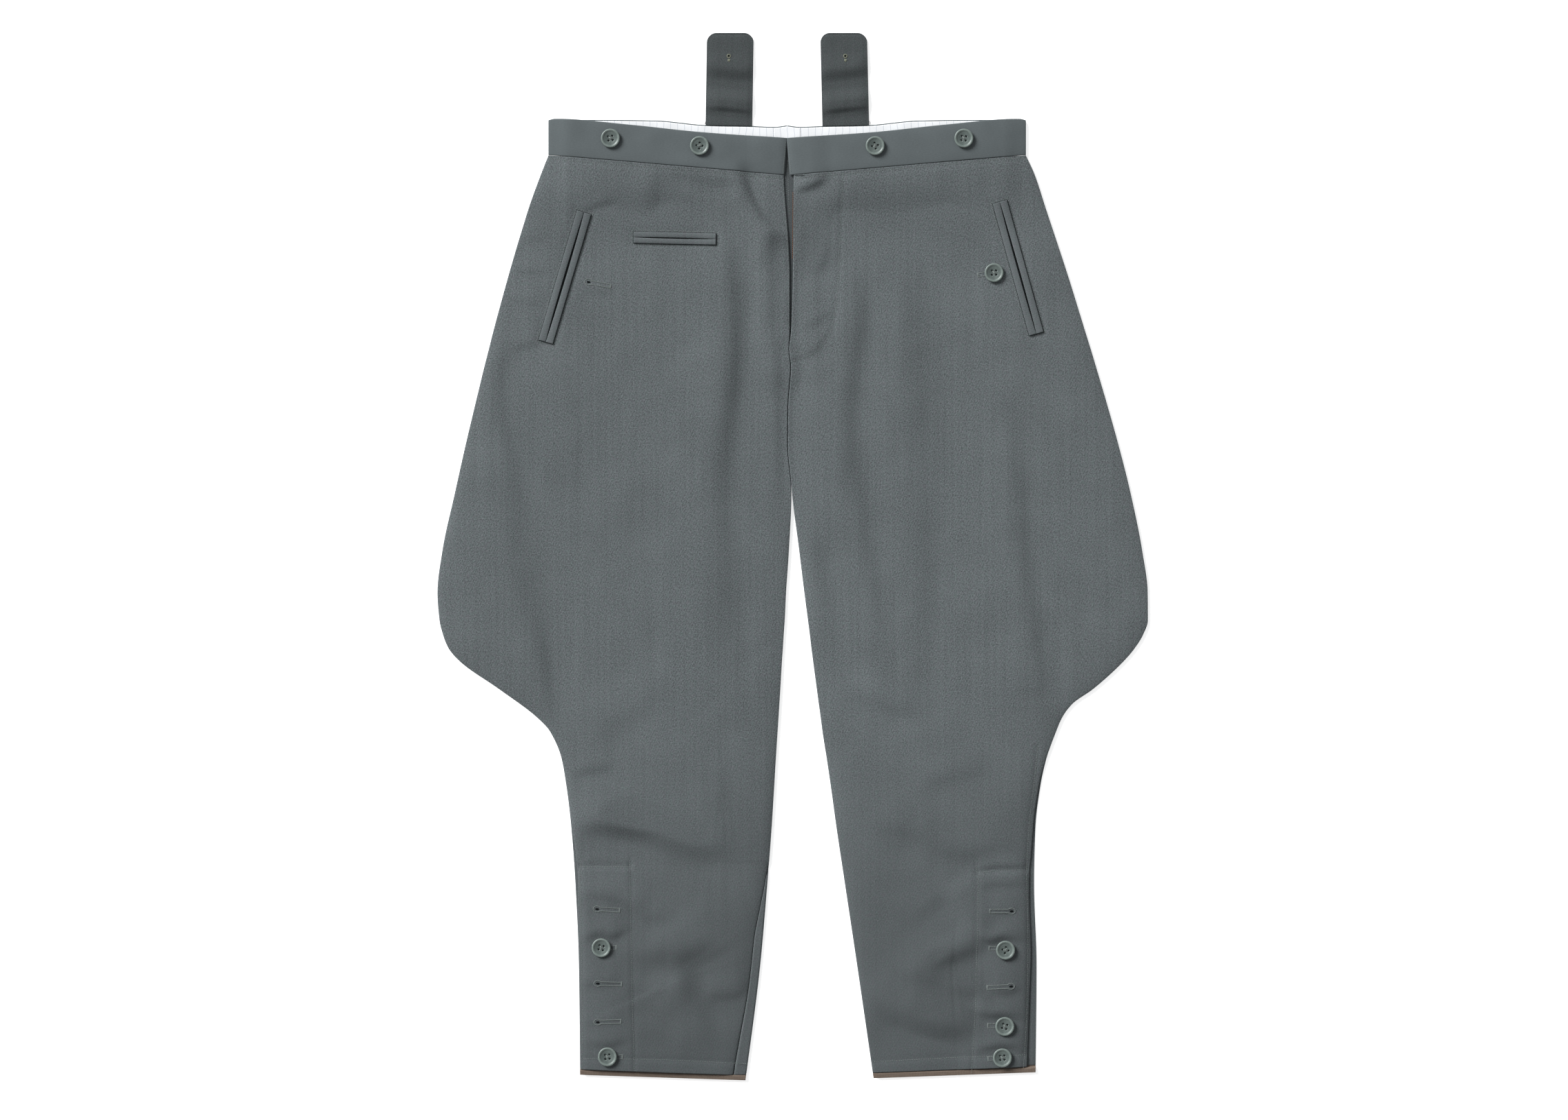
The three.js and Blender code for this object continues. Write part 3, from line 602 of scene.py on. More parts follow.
def front_air(x, y, right, outer, inner):
    """Height of the air between front and back, with the folds."""
    reach = puff_reach(y)
    at_slit = np.where(right | (y > WAIST_SEAM), ramp(y, *SLIT_STARTS), 0)
    inner_reach = lerp(reach, SLIT_REACH, at_slit)
    away = (1 - np.exp(-outer / reach)) * (1 - np.exp(-inner / inner_reach))
    uneven = sum(dents(x, y, **kind) for kind in FRONT_DENTS)
    at_edge = (1 - np.exp(-outer / FOLD_EDGE)) * (1 - np.exp(-inner / FOLD_EDGE))
    air = above_zero(away * (puff_air(y) + uneven) + at_edge * fold_relief(x, y), AIR_LOW)
    most = MOST_AIR - LAYER * over_fly_strip(x, y)
    return np.maximum(most - above_zero(most - air, AIR_HIGH), 0)


def front_underside(x, y, detail=True):
    """Underside of the fronts: on the layers below, raised by air, folds and turnings."""
    x, y = np.broadcast_arrays(np.asarray(x, float), np.asarray(y, float))
    shape = x.shape
    x, y = np.atleast_1d(x), np.atleast_1d(y)
    right = x < np.where(y > WAIST_SEAM, SLIT_TOP, 0.5 * (right_inner(y) + left_inner(y)))
    outer, inner = front_edge_distances(x, y, right)
    layers = LAYER * (over_lining(x, y) + over_fly_strip(x, y))
    at_inseam = 1 - ramp(y, *INSEAM_STARTS)
    rolled = EDGE_DROP * (np.exp(-outer / EDGE_REACH) + np.exp(-inner / EDGE_REACH) * at_inseam)
    along_fly = ramp(y, *LAP_STARTS) * (1 - ramp(y, *LAP_ENDS))
    lap = np.where(right, 0, LAP_LIFT * np.exp(-inner / LAP_REACH) * along_fly)
    sewn = sewn_relief(x, y) if detail else 0
    level = SEAM_LEVEL + layers + front_air(x, y, right, outer, inner) - rolled + lap + sewn
    return level.reshape(shape)


def front_top(x, y):
    return front_underside(x, y) + CLOTH


def plain_front_top(x, y):
    """The fronts' top without the relief of turnings and stitches."""
    return front_underside(x, y, detail=False) + CLOTH


def left_of(ahead):
    """The direction to the left of one or more directions in plan."""
    return np.stack([-ahead[..., 1], ahead[..., 0]], axis=-1)


def directions(start, end):
    """Directions in plan from one point to another, and to the left of that."""
    way = np.subtract(end, start)
    ahead = way / np.linalg.norm(way)
    return ahead, left_of(ahead)


BOX_MARGIN = 1.5  # the stitched box stands this far off a pocket's lips


def pocket_box(pocket, margin=BOX_MARGIN):
    """Corners of a box round a pocket's lips."""
    along, aside = directions(pocket["from"], pocket["to"])
    across = aside * (pocket["lip"] + 0.5 * SLIT + margin)
    a, b = pocket["from"] - along * margin, pocket["to"] + along * margin
    return np.array([a + across, b + across, b - across, a - across])


POCKET_BOXES = [pocket_box(p) for p in [*SIDE_POCKETS.values(), WATCH_POCKET]]

# ---- meshes ---------------------------------------------------------------------------------

RIM = np.array([0, 0.06, 0.22, 0.5, 1.0])  # distances from an edge where the rim is rounded


def make_object(name, vertices, faces, material, smooth=True):
    """An object from vertices in millimetres."""
    mesh = bpy.data.meshes.new(name)
    mesh.from_pydata((np.asarray(vertices) * MM).tolist(), [], [list(map(int, f)) for f in faces])
    mesh.validate()
    if smooth:
        mesh.polygons.foreach_set("use_smooth", [True] * len(mesh.polygons))
    mesh.materials.append(material)
    mesh.update()
    piece = bpy.data.objects.new(name, mesh)
    bpy.context.scene.collection.objects.link(piece)
    return piece


def steps(length, step):
    """Fractions of a length: close together at the two ends, then evenly spaced."""
    inner = max(2, int(round((length - 2 * RIM[-1]) / step)))
    even = np.linspace(RIM[-1], length - RIM[-1], inner + 1)
    return np.concatenate([RIM[:-1], even, length - RIM[-2::-1]]) / length


def rim_profile(points, half):
    """Half thickness at each point of a grid, rounded off to nothing at its four edges."""

    def distance(grid):
        """Distance of each row's points from that row's first point, square to the edge."""
        start = grid[:, :1]
        edge = np.gradient(grid[:, 0], axis=0)
        edge /= np.linalg.norm(edge, axis=1, keepdims=True) + 1e-12
        offset = grid - start
        along = np.sum(offset * edge[:, None], axis=2, keepdims=True)
        return np.linalg.norm(offset - along * edge[:, None], axis=2)

    def rounded(d):
        return np.sqrt(1 - (1 - np.clip(d / half, 0, 1)) ** 2)

    turned = points.transpose(1, 0, 2)
    sides = rounded(distance(points)) * rounded(distance(points[:, ::-1])[:, ::-1])
    ends = rounded(distance(turned)) * rounded(distance(turned[:, ::-1])[:, ::-1])
    profile = sides * ends.T
    profile[[0, -1], :] = 0
    profile[:, [0, -1]] = 0
    return profile * half


def shell_mesh(points, thick):
    """Vertices and faces of a closed sheet of cloth about a grid of mid-surface points."""
    right = np.gradient(points, axis=1)
    up = -np.gradient(points, axis=0)
    normals = np.cross(right, up)
    normals /= np.linalg.norm(normals, axis=2, keepdims=True) + 1e-12
    half = rim_profile(points, 0.5 * thick)[..., None]
    rows, columns = points.shape[:2]
    top = (points + normals * half).reshape(-1, 3)
    inner = (points - normals * half)[1:-1, 1:-1].reshape(-1, 3)
    upper = np.arange(rows * columns).reshape(rows, columns)
    lower = upper.copy()
    lower[1:-1, 1:-1] = rows * columns + np.arange(inner.shape[0]).reshape(rows - 2, columns - 2)

    def quads(index):
        return np.stack(
            [index[:-1, :-1], index[1:, :-1], index[1:, 1:], index[:-1, 1:]], axis=2
        ).reshape(-1, 4)

    return np.vstack([top, inner]), np.vstack([quads(upper), quads(lower)[:, ::-1]])


def join_meshes(parts):
    """One list of vertices and one of faces from several."""
    vertices, faces, count = [], [], 0
    for part_vertices, part_faces in parts:
        vertices.append(part_vertices)
        faces.extend([index + count for index in face] for face in part_faces)
        count += len(part_vertices)
    return np.vstack(vertices), faces


def ruled_plan(left, right, row_steps, step):
    """Plan points in rows between two edges, each a function of the row's own value."""
    x0, y0 = left(row_steps)
    x1, y1 = right(row_steps)
    width = float(np.mean(np.hypot(x1 - x0, y1 - y0)))
    u = steps(width, step)[None, :]
    return np.stack([lerp(x0[:, None], x1[:, None], u), lerp(y0[:, None], y1[:, None], u)], axis=2)


def lifted(plan, surface, amount):
    """Points of a line or grid in plan, at a distance above a surface."""
    level = surface(plan[..., 0], plan[..., 1]) + amount
    return np.concatenate([plan, level[..., None]], axis=-1)


def raised(plan, underside, thick):
    """Mid-surface points over a plan grid, given the height of the cloth's underside."""
    return lifted(plan, underside, 0.5 * thick)


def facing_up(points):
    """A grid of points in the order that makes the top of its shell face up."""
    normal = np.cross(points[1, 0] - points[0, 0], points[0, 1] - points[0, 0])
    return points if normal[2] < 0 else points[:, ::-1]


def on_floor(x, _y):
    """The level that the backs lie on, as a surface like the others."""
    return FLOOR_GAP + 0 * x


def sheet_area(points):
    """Area in square metres of a grid of points, in plan or in space."""
    points = np.pad(points, ((0, 0), (0, 0), (0, 3 - points.shape[2])))
    a = points[1:, 1:] - points[:-1, :-1]
    b = points[1:, :-1] - points[:-1, 1:]
    return float(np.sum(np.linalg.norm(np.cross(a, b), axis=2)) / 2) * MM * MM


THREAD_SIDES = 5
THREAD_RINGS = table(("along", "radius"), [
    (-0.5, 0.15),
    (-0.36, 0.8),
    (0, 1),
    (0.36, 0.8),
    (0.5, 0.15),
])


def ring_faces(rings, sides, base=0):
    """Faces of a closed tube through rings of vertices, numbered from base on."""
    faces = []
    last = base + (rings - 1) * sides
    for low in range(base, last, sides):
        for k in range(sides):
            n = (k + 1) % sides
            faces.append([low + k, low + n, low + sides + n, low + sides + k])
    faces.append([base + k for k in reversed(range(sides))])
    faces.append([last + k for k in range(sides)])
    return faces


def thread_mesh(starts, ends, radius, arch):
    """Vertices and faces of short arched threads between pairs of points."""
    starts, ends = np.asarray(starts, float), np.asarray(ends, float)
    span = ends - starts
    length = np.linalg.norm(span, axis=1, keepdims=True)
    ahead = span / length
    side = np.cross([0, 0, 1], ahead)
    side /= np.linalg.norm(side, axis=1, keepdims=True)
    over = np.cross(ahead, side)
    angle = 2 * np.pi * np.arange(THREAD_SIDES) / THREAD_SIDES
    round_x = np.cos(angle)[None, :, None] * side[:, None]
    round_z = np.sin(angle)[None, :, None] * over[:, None]
    rings = []
    for along, size in zip(*THREAD_RINGS.values()):
        center = 0.5 * (starts + ends) + ahead * length * along - over * arch * (2 * along) ** 2
        rings.append(center[:, None] + radius * size * (round_x + round_z))
    vertices = np.stack(rings, axis=1).reshape(-1, 3)
    per_thread = len(rings) * THREAD_SIDES
    faces = []
    for base in range(0, len(vertices), per_thread):
        faces += ring_faces(len(rings), THREAD_SIDES, base)
    return vertices, faces


def threads_on(surface, starts, ends, thread):
    """Threads of one kind between pairs of points in plan, lying on a surface."""
    low, high = np.broadcast_to(thread["lies"], 2)
    starts = lifted(np.vstack(starts), surface, low)
    ends = lifted(np.vstack(ends), surface, high)
    return thread_mesh(starts, ends, thread["radius"], thread["arch"])


def along_line(line, pitch):
    """Points spaced along a line, and the direction there."""
    line = np.asarray(line, float)
    lengths = np.append(0, np.cumsum(np.linalg.norm(np.diff(line, axis=0), axis=1)))
    places = np.arange(0.5 * pitch, lengths[-1], pitch)
    at = np.stack([np.interp(places, lengths, line[:, k]) for k in (0, 1)], axis=1)
    ahead = np.stack([np.interp(places + 0.1, lengths, line[:, k]) for k in (0, 1)], axis=1) - at
    ahead /= np.linalg.norm(ahead, axis=1, keepdims=True) + 1e-12
    return at, ahead


STITCH_PITCH = 1.75
STITCH_UNEVEN = {"aside": 0.07, "length": 0.15, "lean": 0.06}
STITCH_LENGTH = 1.1
STITCH = {"lies": 0.2, "radius": 0.21, "arch": 0.24}


def stitch_mesh(lines, surface, seed):
    """Running stitches along lines in plan, lying on a surface."""
    rng = np.random.default_rng(seed)
    uneven = STITCH_UNEVEN
    starts, ends = [], []
    for line in lines:
        at, ahead = along_line(line, STITCH_PITCH)
        size = (len(at), 1)
        aside = left_of(ahead) * rng.normal(0, uneven["aside"], size)
        share = rng.uniform(1 - uneven["length"], 1 + uneven["length"], size)
        lean = left_of(ahead) * rng.normal(0, uneven["lean"], size)
        way = (ahead + lean) * 0.5 * STITCH_LENGTH * share
        starts.append(at + aside - way)
        ends.append(at + aside + way)
    return threads_on(surface, starts, ends, STITCH)


# ---- materials ------------------------------------------------------------------------------


class Shader:
    """A node material being built."""

    def __init__(self, name, roughness, specular=0.2, sheen=0.0):
        self.material = bpy.data.materials.new(name)
        self.material.use_nodes = True
        self.tree = self.material.node_tree
        self.surface = self.tree.nodes["Principled BSDF"]
        self.surface.inputs["Roughness"].default_value = roughness
        self.surface.inputs["Specular IOR Level"].default_value = specular
        self.surface.inputs["Sheen Weight"].default_value = sheen
        self.surface.inputs["Sheen Roughness"].default_value = 0.5

    def set(self, socket, value):
        if isinstance(value, bpy.types.NodeSocket):
            self.tree.links.new(value, socket)
        else:
            socket.default_value = value

    def add(self, kind, inputs=None, output=0, **settings):
        node = self.tree.nodes.new("ShaderNode" + kind)
        for name, value in settings.items():
            setattr(node, name, value)
        for name, value in (inputs or {}).items():
            self.set(node.inputs[name], value)
        return node.outputs[output]

    def math(self, operation, a, b=0.0):
        return self.add("Math", {0: a, 1: b}, operation=operation)

    def millimetres(self):
        """Object coordinates in millimetres."""
        place = self.add("TexCoord", output="Object")
        scaled = self.add("VectorMath", {0: place, "Scale": 1 / MM}, operation="SCALE")
        parts = self.tree.nodes.new("ShaderNodeSeparateXYZ")
        self.set(parts.inputs[0], scaled)
        return parts.outputs["X"], parts.outputs["Y"], parts.outputs["Z"]

    def vector(self, x, y, z=0.0):
        return self.add("CombineXYZ", {"X": x, "Y": y, "Z": z})

    def noise(self, vector, scale, detail=2.0, roughness=0.5):
        return self.add(
            "TexNoise",
            {"Vector": vector, "Scale": scale, "Detail": detail, "Roughness": roughness},
        )

    def streaks(self, x, y, across, along, scale=1.0, detail=2.0, roughness=0.5):
        """Noise that is drawn out: across and along are its cells in a millimetre each way."""
        place = self.vector(self.math("MULTIPLY", x, across), self.math("MULTIPLY", y, along))
        return self.noise(place, scale, detail, roughness)

    def ranged(self, value, low, high, to_low=0.0, to_high=1.0, **settings):
        limits = {"From Min": low, "From Max": high, "To Min": to_low, "To Max": to_high}
        return self.add("MapRange", {"Value": value, **limits}, **settings)

    def weighted(self, *terms):
        """Sum of values times weights."""
        total = None
        for value, weight in terms:
            part = self.math("MULTIPLY", value, weight)
            total = part if total is None else self.math("ADD", total, part)
        return total

    def mix(self, factor, first, second, blend="MIX"):
        node = self.tree.nodes.new("ShaderNodeMix")
        node.data_type = "RGBA"
        node.blend_type = blend
        self.set(node.inputs["Factor"], factor)
        colors = [s for s in node.inputs if s.type == "RGBA"]
        for socket, value in zip(colors, (first, second)):
            self.set(socket, value)
        return next(s for s in node.outputs if s.type == "RGBA")

    def color(self, value):
        self.set(self.surface.inputs["Base Color"], value)

    def bump(self, height, distance, strength=1.0):
        normal = self.add("Bump", {"Height": height, "Distance": distance, "Strength": strength})
        self.set(self.surface.inputs["Normal"], normal)


STUDIO_LEVEL = 1.16  # light on a level surface in the studio, where 1 shows white as white


def tone(red, green, blue):
    """Linear colour that shows as the given one, 0 to 255, when it lies level in the studio."""
    parts = []
    for value in (red, green, blue):
        v = value / 255
        linear = v / 12.92 if v <= 0.04045 else ((v + 0.055) / 1.055) ** 2.4
        parts.append(linear / STUDIO_LEVEL)
    return (*parts, 1.0)


def shades(color, spread):
    """A darker and a lighter shade of a colour, by the given share."""
    return [(*(share * c for c in color[:3]), 1.0) for share in (1 - spread, 1 + spread)]


TWILL_ANGLE = math.radians(63)
LIP_ANGLE = math.radians(20)
TWILL_WEIGHTS = {"cord": 0.06, "picks": 0.03, "yarn": 1.0, "fleck": 1.5, "speck": 1.0}
TWILL_MEAN = 1.275  # what the weighted yarn, fleck and speck come to on average
TWILL_BUMPS = {"cord": 0.12, "picks": 0.06, "yarn": 0.4, "fleck": 0.9}
WARP = 0.26  # weight of the long streaks of single warp yarns
CLOUDY = 0.3  # weight of the broad, faint clouding
CALM = {"low": -380.0, "high": -120.0, "to_low": 0.42}  # the grain is fainter on the calves
CALF_SHADE_HEIGHTS = {"low": -450.0, "high": -110.0}  # heights between which the painted shade on the calves comes in
CALF_PAINTED_SHADE = 0.74  # painted shade: the calves' colour is darkened as if less light fell on them
HUES = ((0.90, 1.05, 0.97, 1.0), (1.10, 0.95, 1.03, 1.0))  # the yarns' tints, greener and redder


def twill_grain(s, x, y, period, lean, angle):
    """The parts of a twill's grain: slanting cords, the picks over them, yarn, fleck and speck."""
    across = s.weighted((x, math.sin(angle)), (y, -lean * math.cos(angle)))
    along = s.weighted((x, lean * math.cos(angle)), (y, math.sin(angle)))
    wander = s.noise(s.vector(x, y), 0.11, 1.0)
    phase = s.weighted((across, 2 * math.pi / period), (wander, 2.2))
    picks = s.weighted((along, 2 * math.pi / (0.6 * period)), (phase, 0.5))
    return {
        "cord": s.math("SINE", phase),
        "picks": s.math("SINE", picks),
        "yarn": s.streaks(across, along, 1.9 / period, 1.1 / period, roughness=0.6),
        "fleck": s.noise(s.vector(x, y), 0.85, 1.0),
        "speck": s.ranged(s.noise(s.vector(y, x), 0.9, 1.0), 0.64, 0.8),
    }


def twill(name, color, period, lean=1, contrast=1.0, angle=TWILL_ANGLE):
    """Steep twill: slanting cords of heathered yarn, broken up by light flecks."""
    s = Shader(name, roughness=0.92, specular=0.15, sheen=0.12)
    x, y, _ = s.millimetres()
    grain = twill_grain(s, x, y, period, lean, angle)
    cloudy = s.noise(s.vector(x, y), 0.018, 3.0)
    warp = s.streaks(x, y, 0.3, 0.006)
    terms = [(grain[part], weight * contrast) for part, weight in TWILL_WEIGHTS.items()]
    fine = s.weighted(*terms, (warp, WARP))
    fine = s.math("SUBTRACT", fine, TWILL_MEAN * contrast + 0.5 * WARP)
    fine = s.math("MULTIPLY", fine, s.ranged(y, **CALM))
    broad = s.math("ADD", s.weighted((cloudy, CLOUDY)), 0.5 - 0.5 * CLOUDY)
    dark, light = shades(color, 0.5)
    mixed = s.mix(s.math("ADD", fine, broad), dark, light)
    hue = s.noise(s.vector(y, x), 0.3, 3.0)
    tint = s.mix(hue, *HUES)
    toned = s.mix(1.0, mixed, tint, "MULTIPLY")
    # Painted shade: the cloth's colour darkens towards the hem, standing in for light that falls off
    # over the calves.
    level = s.ranged(y, **CALF_SHADE_HEIGHTS, to_low=CALF_PAINTED_SHADE, interpolation_type="SMOOTHSTEP")
    s.color(s.add("VectorMath", {0: toned, "Scale": level}, operation="SCALE"))
    relief = s.weighted(*((grain[part], weight) for part, weight in TWILL_BUMPS.items()))
    s.bump(relief, 0.08 * MM, 0.9)
    return s.material


def smooth_cloth(name, color):
    """Close, smooth cloth with fine lines across and a soft bloom."""
    s = Shader(name, roughness=0.9, specular=0.15, sheen=0.15)
    x, y, _ = s.millimetres()
    grain = s.streaks(x, y, 0.5, 1.5, 0.9, 3.0, 0.6)
    lines = s.math("SINE", s.weighted((y, 2 * math.pi / 1.1), (x, 0.55), (grain, 2.0)))
    cloudy = s.noise(s.vector(x, y), 0.03, 2.0)
    factor = s.weighted((grain, 0.55), (lines, 0.012), (cloudy, CLOUDY))
    factor = s.math("ADD", factor, 0.5 - 0.5 * (0.55 + CLOUDY))
    s.color(s.mix(factor, *shades(color, 0.38)))
    s.bump(s.weighted((grain, 0.8), (lines, 0.03)), 0.06 * MM, 0.8)
    return s.material


LINING_STRIPE = 6.7


def striped_lining(name):
    """White lining with thin grey-blue stripes."""
    s = Shader(name, roughness=0.75, specular=0.25)
    x, y, _ = s.millimetres()
    sway = s.streaks(x, y, 0.02, 0.08, detail=1.0)
    turns = s.weighted((x, 1 / LINING_STRIPE), (sway, 0.5))
    within = s.math("ABSOLUTE", s.math("SUBTRACT", s.math("FRACT", turns), 0.5))
    stripe = s.ranged(within, 0.015, 0.06, 0.5, 0.0)
    weave = s.noise(s.vector(x, y), 2.4, 2.0)
    white = s.mix(weave, tone(243, 248, 253), tone(255, 255, 255))
    s.color(s.mix(stripe, white, tone(166, 174, 190)))
    s.bump(weave, 0.05 * MM, 0.5)
    return s.material


def ribbed_tape(name):
    """Brown tape with fine ribs across it."""
    s = Shader(name, roughness=0.85, specular=0.2)
    x, y, _ = s.millimetres()
    ribs = s.math("SINE", s.math("MULTIPLY", x, 2 * math.pi / 0.9))
    lengthwise = s.streaks(x, y, 0.12, 1.6, detail=3.0)
    factor = s.weighted((ribs, 0.06), (lengthwise, 0.9))
    s.color(s.mix(factor, tone(82, 72, 64), tone(134, 119, 107)))
    s.bump(s.weighted((ribs, 0.5), (lengthwise, 0.5)), 0.1 * MM, 0.8)
    return s.material


def thread_material(name, dark, light):
    """Twisted thread, in a darker and a lighter colour."""
    s = Shader(name, roughness=0.7, specular=0.3)
    x, y, z = s.millimetres()
    twist = s.noise(s.vector(x, y, z), 1.6, 2.0)
    s.color(s.mix(twist, dark, light))
    s.bump(twist, 0.05 * MM, 0.6)
    return s.material


def button_material(name):
    """Cast resin with faint clouding, with a painted highlight on the rim and painted shade in the
    dish.
    """
    s = Shader(name, roughness=0.36, specular=0.45)
    x, y, z = s.millimetres()
    clouds = s.noise(s.vector(x, y, z), 0.22, 4.0, 0.6)
    specks = s.noise(s.vector(x, y, z), 1.9, 2.0)
    # Painted highlight and shade: the raised rim is paler and the dish darker, by height, as light
    # would fall on them.
    rim = s.ranged(z, 2.35, 2.9)
    factor = s.weighted((clouds, 0.9), (specks, 0.3), (rim, 0.5))
    factor = s.math("SUBTRACT", factor, 0.4)
    s.color(s.mix(factor, tone(80, 90, 88), tone(128, 140, 135)))
    s.set(s.surface.inputs["Roughness"], s.weighted((specks, 0.2), (clouds, 0.5)))
    s.bump(specks, 0.03 * MM, 0.4)
    return s.material


def deep_shadow(name):
    """Painted shade: the dark inside of a slit or hole, with faint mottling."""
    s = Shader(name, roughness=0.95, specular=0.0)
    x, y, _ = s.millimetres()
    shade_mottle = s.noise(s.vector(x, y), 1.2, 2.0)
    s.color(s.mix(shade_mottle, tone(16, 18, 18), tone(34, 37, 38)))
    return s.material


TWILL_COLOR = tone(97, 103, 105)
materials = {
    "twill": twill("cavalry_twill", TWILL_COLOR, 2.3),
    "twill_back": twill("cavalry_twill_back", TWILL_COLOR, 2.3, lean=-1),
    "lip": twill("pocket_lip_twill", tone(96, 102, 104), 2.0, contrast=0.4, angle=LIP_ANGLE),
    "band": smooth_cloth("band_cloth", tone(93, 100, 102)),
    "tab": twill("tab_twill", tone(72, 77, 78), 1.6, contrast=0.6),
    "strip": twill("fly_strip_twill", tone(80, 85, 87), 1.7, contrast=0.6),
    "lining": striped_lining("striped_lining"),
    "tape": ribbed_tape("hem_tape_weave"),
    "button": button_material("button_resin"),
    "thread": thread_material("sewing_thread", tone(106, 114, 112), tone(146, 154, 150)),
    "hole_thread": thread_material("buttonhole_thread", tone(96, 103, 103), tone(136, 144, 141)),
    "brass_thread": thread_material("eyelet_thread", tone(100, 103, 90), tone(142, 146, 128)),
    "rust": thread_material("brown_edge", tone(78, 56, 46), tone(116, 82, 64)),
    "overcast": thread_material("overcast_thread", tone(62, 62, 60), tone(108, 100, 92)),
    "dark": deep_shadow("slit_shadow"),
}

# ---- pieces ---------------------------------------------------------------------------------

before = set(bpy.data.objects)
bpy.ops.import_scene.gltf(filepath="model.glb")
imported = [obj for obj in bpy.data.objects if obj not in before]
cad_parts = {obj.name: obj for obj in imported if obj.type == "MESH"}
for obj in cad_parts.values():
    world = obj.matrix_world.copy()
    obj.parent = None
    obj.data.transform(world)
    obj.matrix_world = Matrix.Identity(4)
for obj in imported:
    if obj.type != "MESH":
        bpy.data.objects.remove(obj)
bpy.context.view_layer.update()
made = {}


def place(piece, slot, nodes=()):
    """Puts a piece on the one body, hides the imported parts that it stands for, and keeps it by name.
    """
    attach(piece, "root")
    if nodes:
        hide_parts(*nodes)
    made[piece.name] = piece


def lay_sheet(node, mesh, look, slot, plan, rests_on, **said):
    """Makes the cloth that stands for a node and puts it in place."""
    piece = make_object(f"{node}_cloth", *mesh, materials[look])
    place(piece, slot, [node])
    said.setdefault("area", sheet_area(plan))


def row_end(edge, waist_shift, hem_shift):
    """One end of each row: it rises towards the waist and the hem by the given amounts."""

    def end(height):
        waist = waist_shift * ramp(height, WAIST_SEAM - RISE_FADE, WAIST_SEAM)
        hem = hem_shift * (1 - ramp(height, HEM, HEM + HEM_FADE))
        y = height + waist + hem
        return edge(y), y

    return end


def row_heights(step, top=WAIST_SEAM):
    """Heights of a panel's rows, from its top to the hem."""
    length = top - HEM
    return top - length * steps(length, step)


def front_plan(side):
    heights = row_heights(FRONT_STEP)
    if side == "right":
        ends = (
            row_end(right_front_outer, SIDE_RISE, HEM_SHIFT["right_outer"]),
            row_end(right_front_inner, 0, HEM_SHIFT["right_inner"]),
        )
    else:
        ends = (
            row_end(left_inner, 0, HEM_SHIFT["left_inner"]),
            row_end(left_front_outer, SIDE_RISE, HEM_SHIFT["left_outer"]),
        )
    return ruled_plan(*ends, heights, FRONT_STEP)


SEAT_PRESS = 0.35  # each back panel is pressed this much into the seat seam, which closes it
SEAT_EASES = 20


def seat_seam(inner, side):
    """The seat seam runs straight from the centre back to the fork."""

    def edge(y):
        t = (y - FORK) / (WAIST_SEAM - FORK)
        seam = lerp(inner(FORK), CENTER_BACK + side * 0.5 * SOLID_GAP, t)
        pressed = side * SEAT_PRESS * ramp(y, FORK, FORK + SEAT_EASES)
        return np.where(y < FORK, inner(y), seam - pressed)

    return edge


FOLD_ROOM = 1.1  # the flat part of the right back ends this many fold radii before the inseam


def right_back_inner(y):
    return right_inner(y) - FOLD_ROOM * turn_radius(y)


def back_plan(side):
    heights = row_heights(BACK_STEP)
    if side == "right":
        ends = (
            row_end(right_outer, SIDE_RISE, HEM_SHIFT["right_outer"] + BACK_HEM),
            row_end(seat_seam(right_back_inner, -1), BACK_RISE, HEM_SHIFT["right_inner"] + BACK_HEM),
        )
    else:
        ends = (
            row_end(seat_seam(left_inner, 1), BACK_RISE, HEM_SHIFT["left_inner"] + BACK_HEM),
            row_end(left_outer, SIDE_RISE, HEM_SHIFT["left_outer"] + BACK_HEM),
        )
    return ruled_plan(*ends, heights, BACK_STEP)


TURN_ROWS = 3.0
FOLD_POINTS = 13  # round the fold
FLAP_POINTS = 9  # from the fold to the seam on the front


def turned_inseam():
    """The right back's cloth from its inseam edge, round the fold and onto the front."""
    heights = row_heights(TURN_ROWS, TURN_START)
    _, y = row_end(right_inner, 0, HEM_SHIFT["right_inner"] + BACK_HEM)(heights)
    _, top_y = row_end(right_inner, 0, HEM_SHIFT["right_inner"])(heights)
    low = FLOOR_GAP + 0.5 * CLOTH
    radius = turn_radius(y)
    middle_x = right_inner(y) - radius - 0.5 * CLOTH
    sections = []
    for angle in np.linspace(-0.5 * np.pi, 0.5 * np.pi, FOLD_POINTS):
        rise = 1 + math.sin(angle)
        x, z = middle_x + radius * math.cos(angle), low + radius * rise
        sections.append(np.column_stack([x, lerp(y, top_y, 0.5 * rise), z]))
    for u in np.linspace(0, 1, FLAP_POINTS)[1:]:
        sections.append(np.column_stack([lerp(middle_x, turn_seam(y), u), top_y, low + 2 * radius]))
    return np.stack(sections, axis=1)[:, ::-1]


def back_panels():
    for side in ("right", "left"):
        plan = back_plan(side)
        parts = [shell_mesh(raised(plan, on_floor, CLOTH), CLOTH)]
        if side == "right":
            parts.append(shell_mesh(turned_inseam(), CLOTH))
        lay_sheet(f"back_{side}", join_meshes(parts), "twill_back", "twill", plan, [])


def front_panels():
    for side in ("right", "left"):
        plan = front_plan(side)
        mesh = shell_mesh(raised(plan, front_underside, CLOTH), CLOTH)
        sewn_on = [made[name] for name in made if name.startswith(f"on_front_{side}")]
        lay_sheet(f"front_{side}", mesh, "twill", "twill", plan, [f"back_{side}_cloth"],
                  with_pieces=sewn_on)


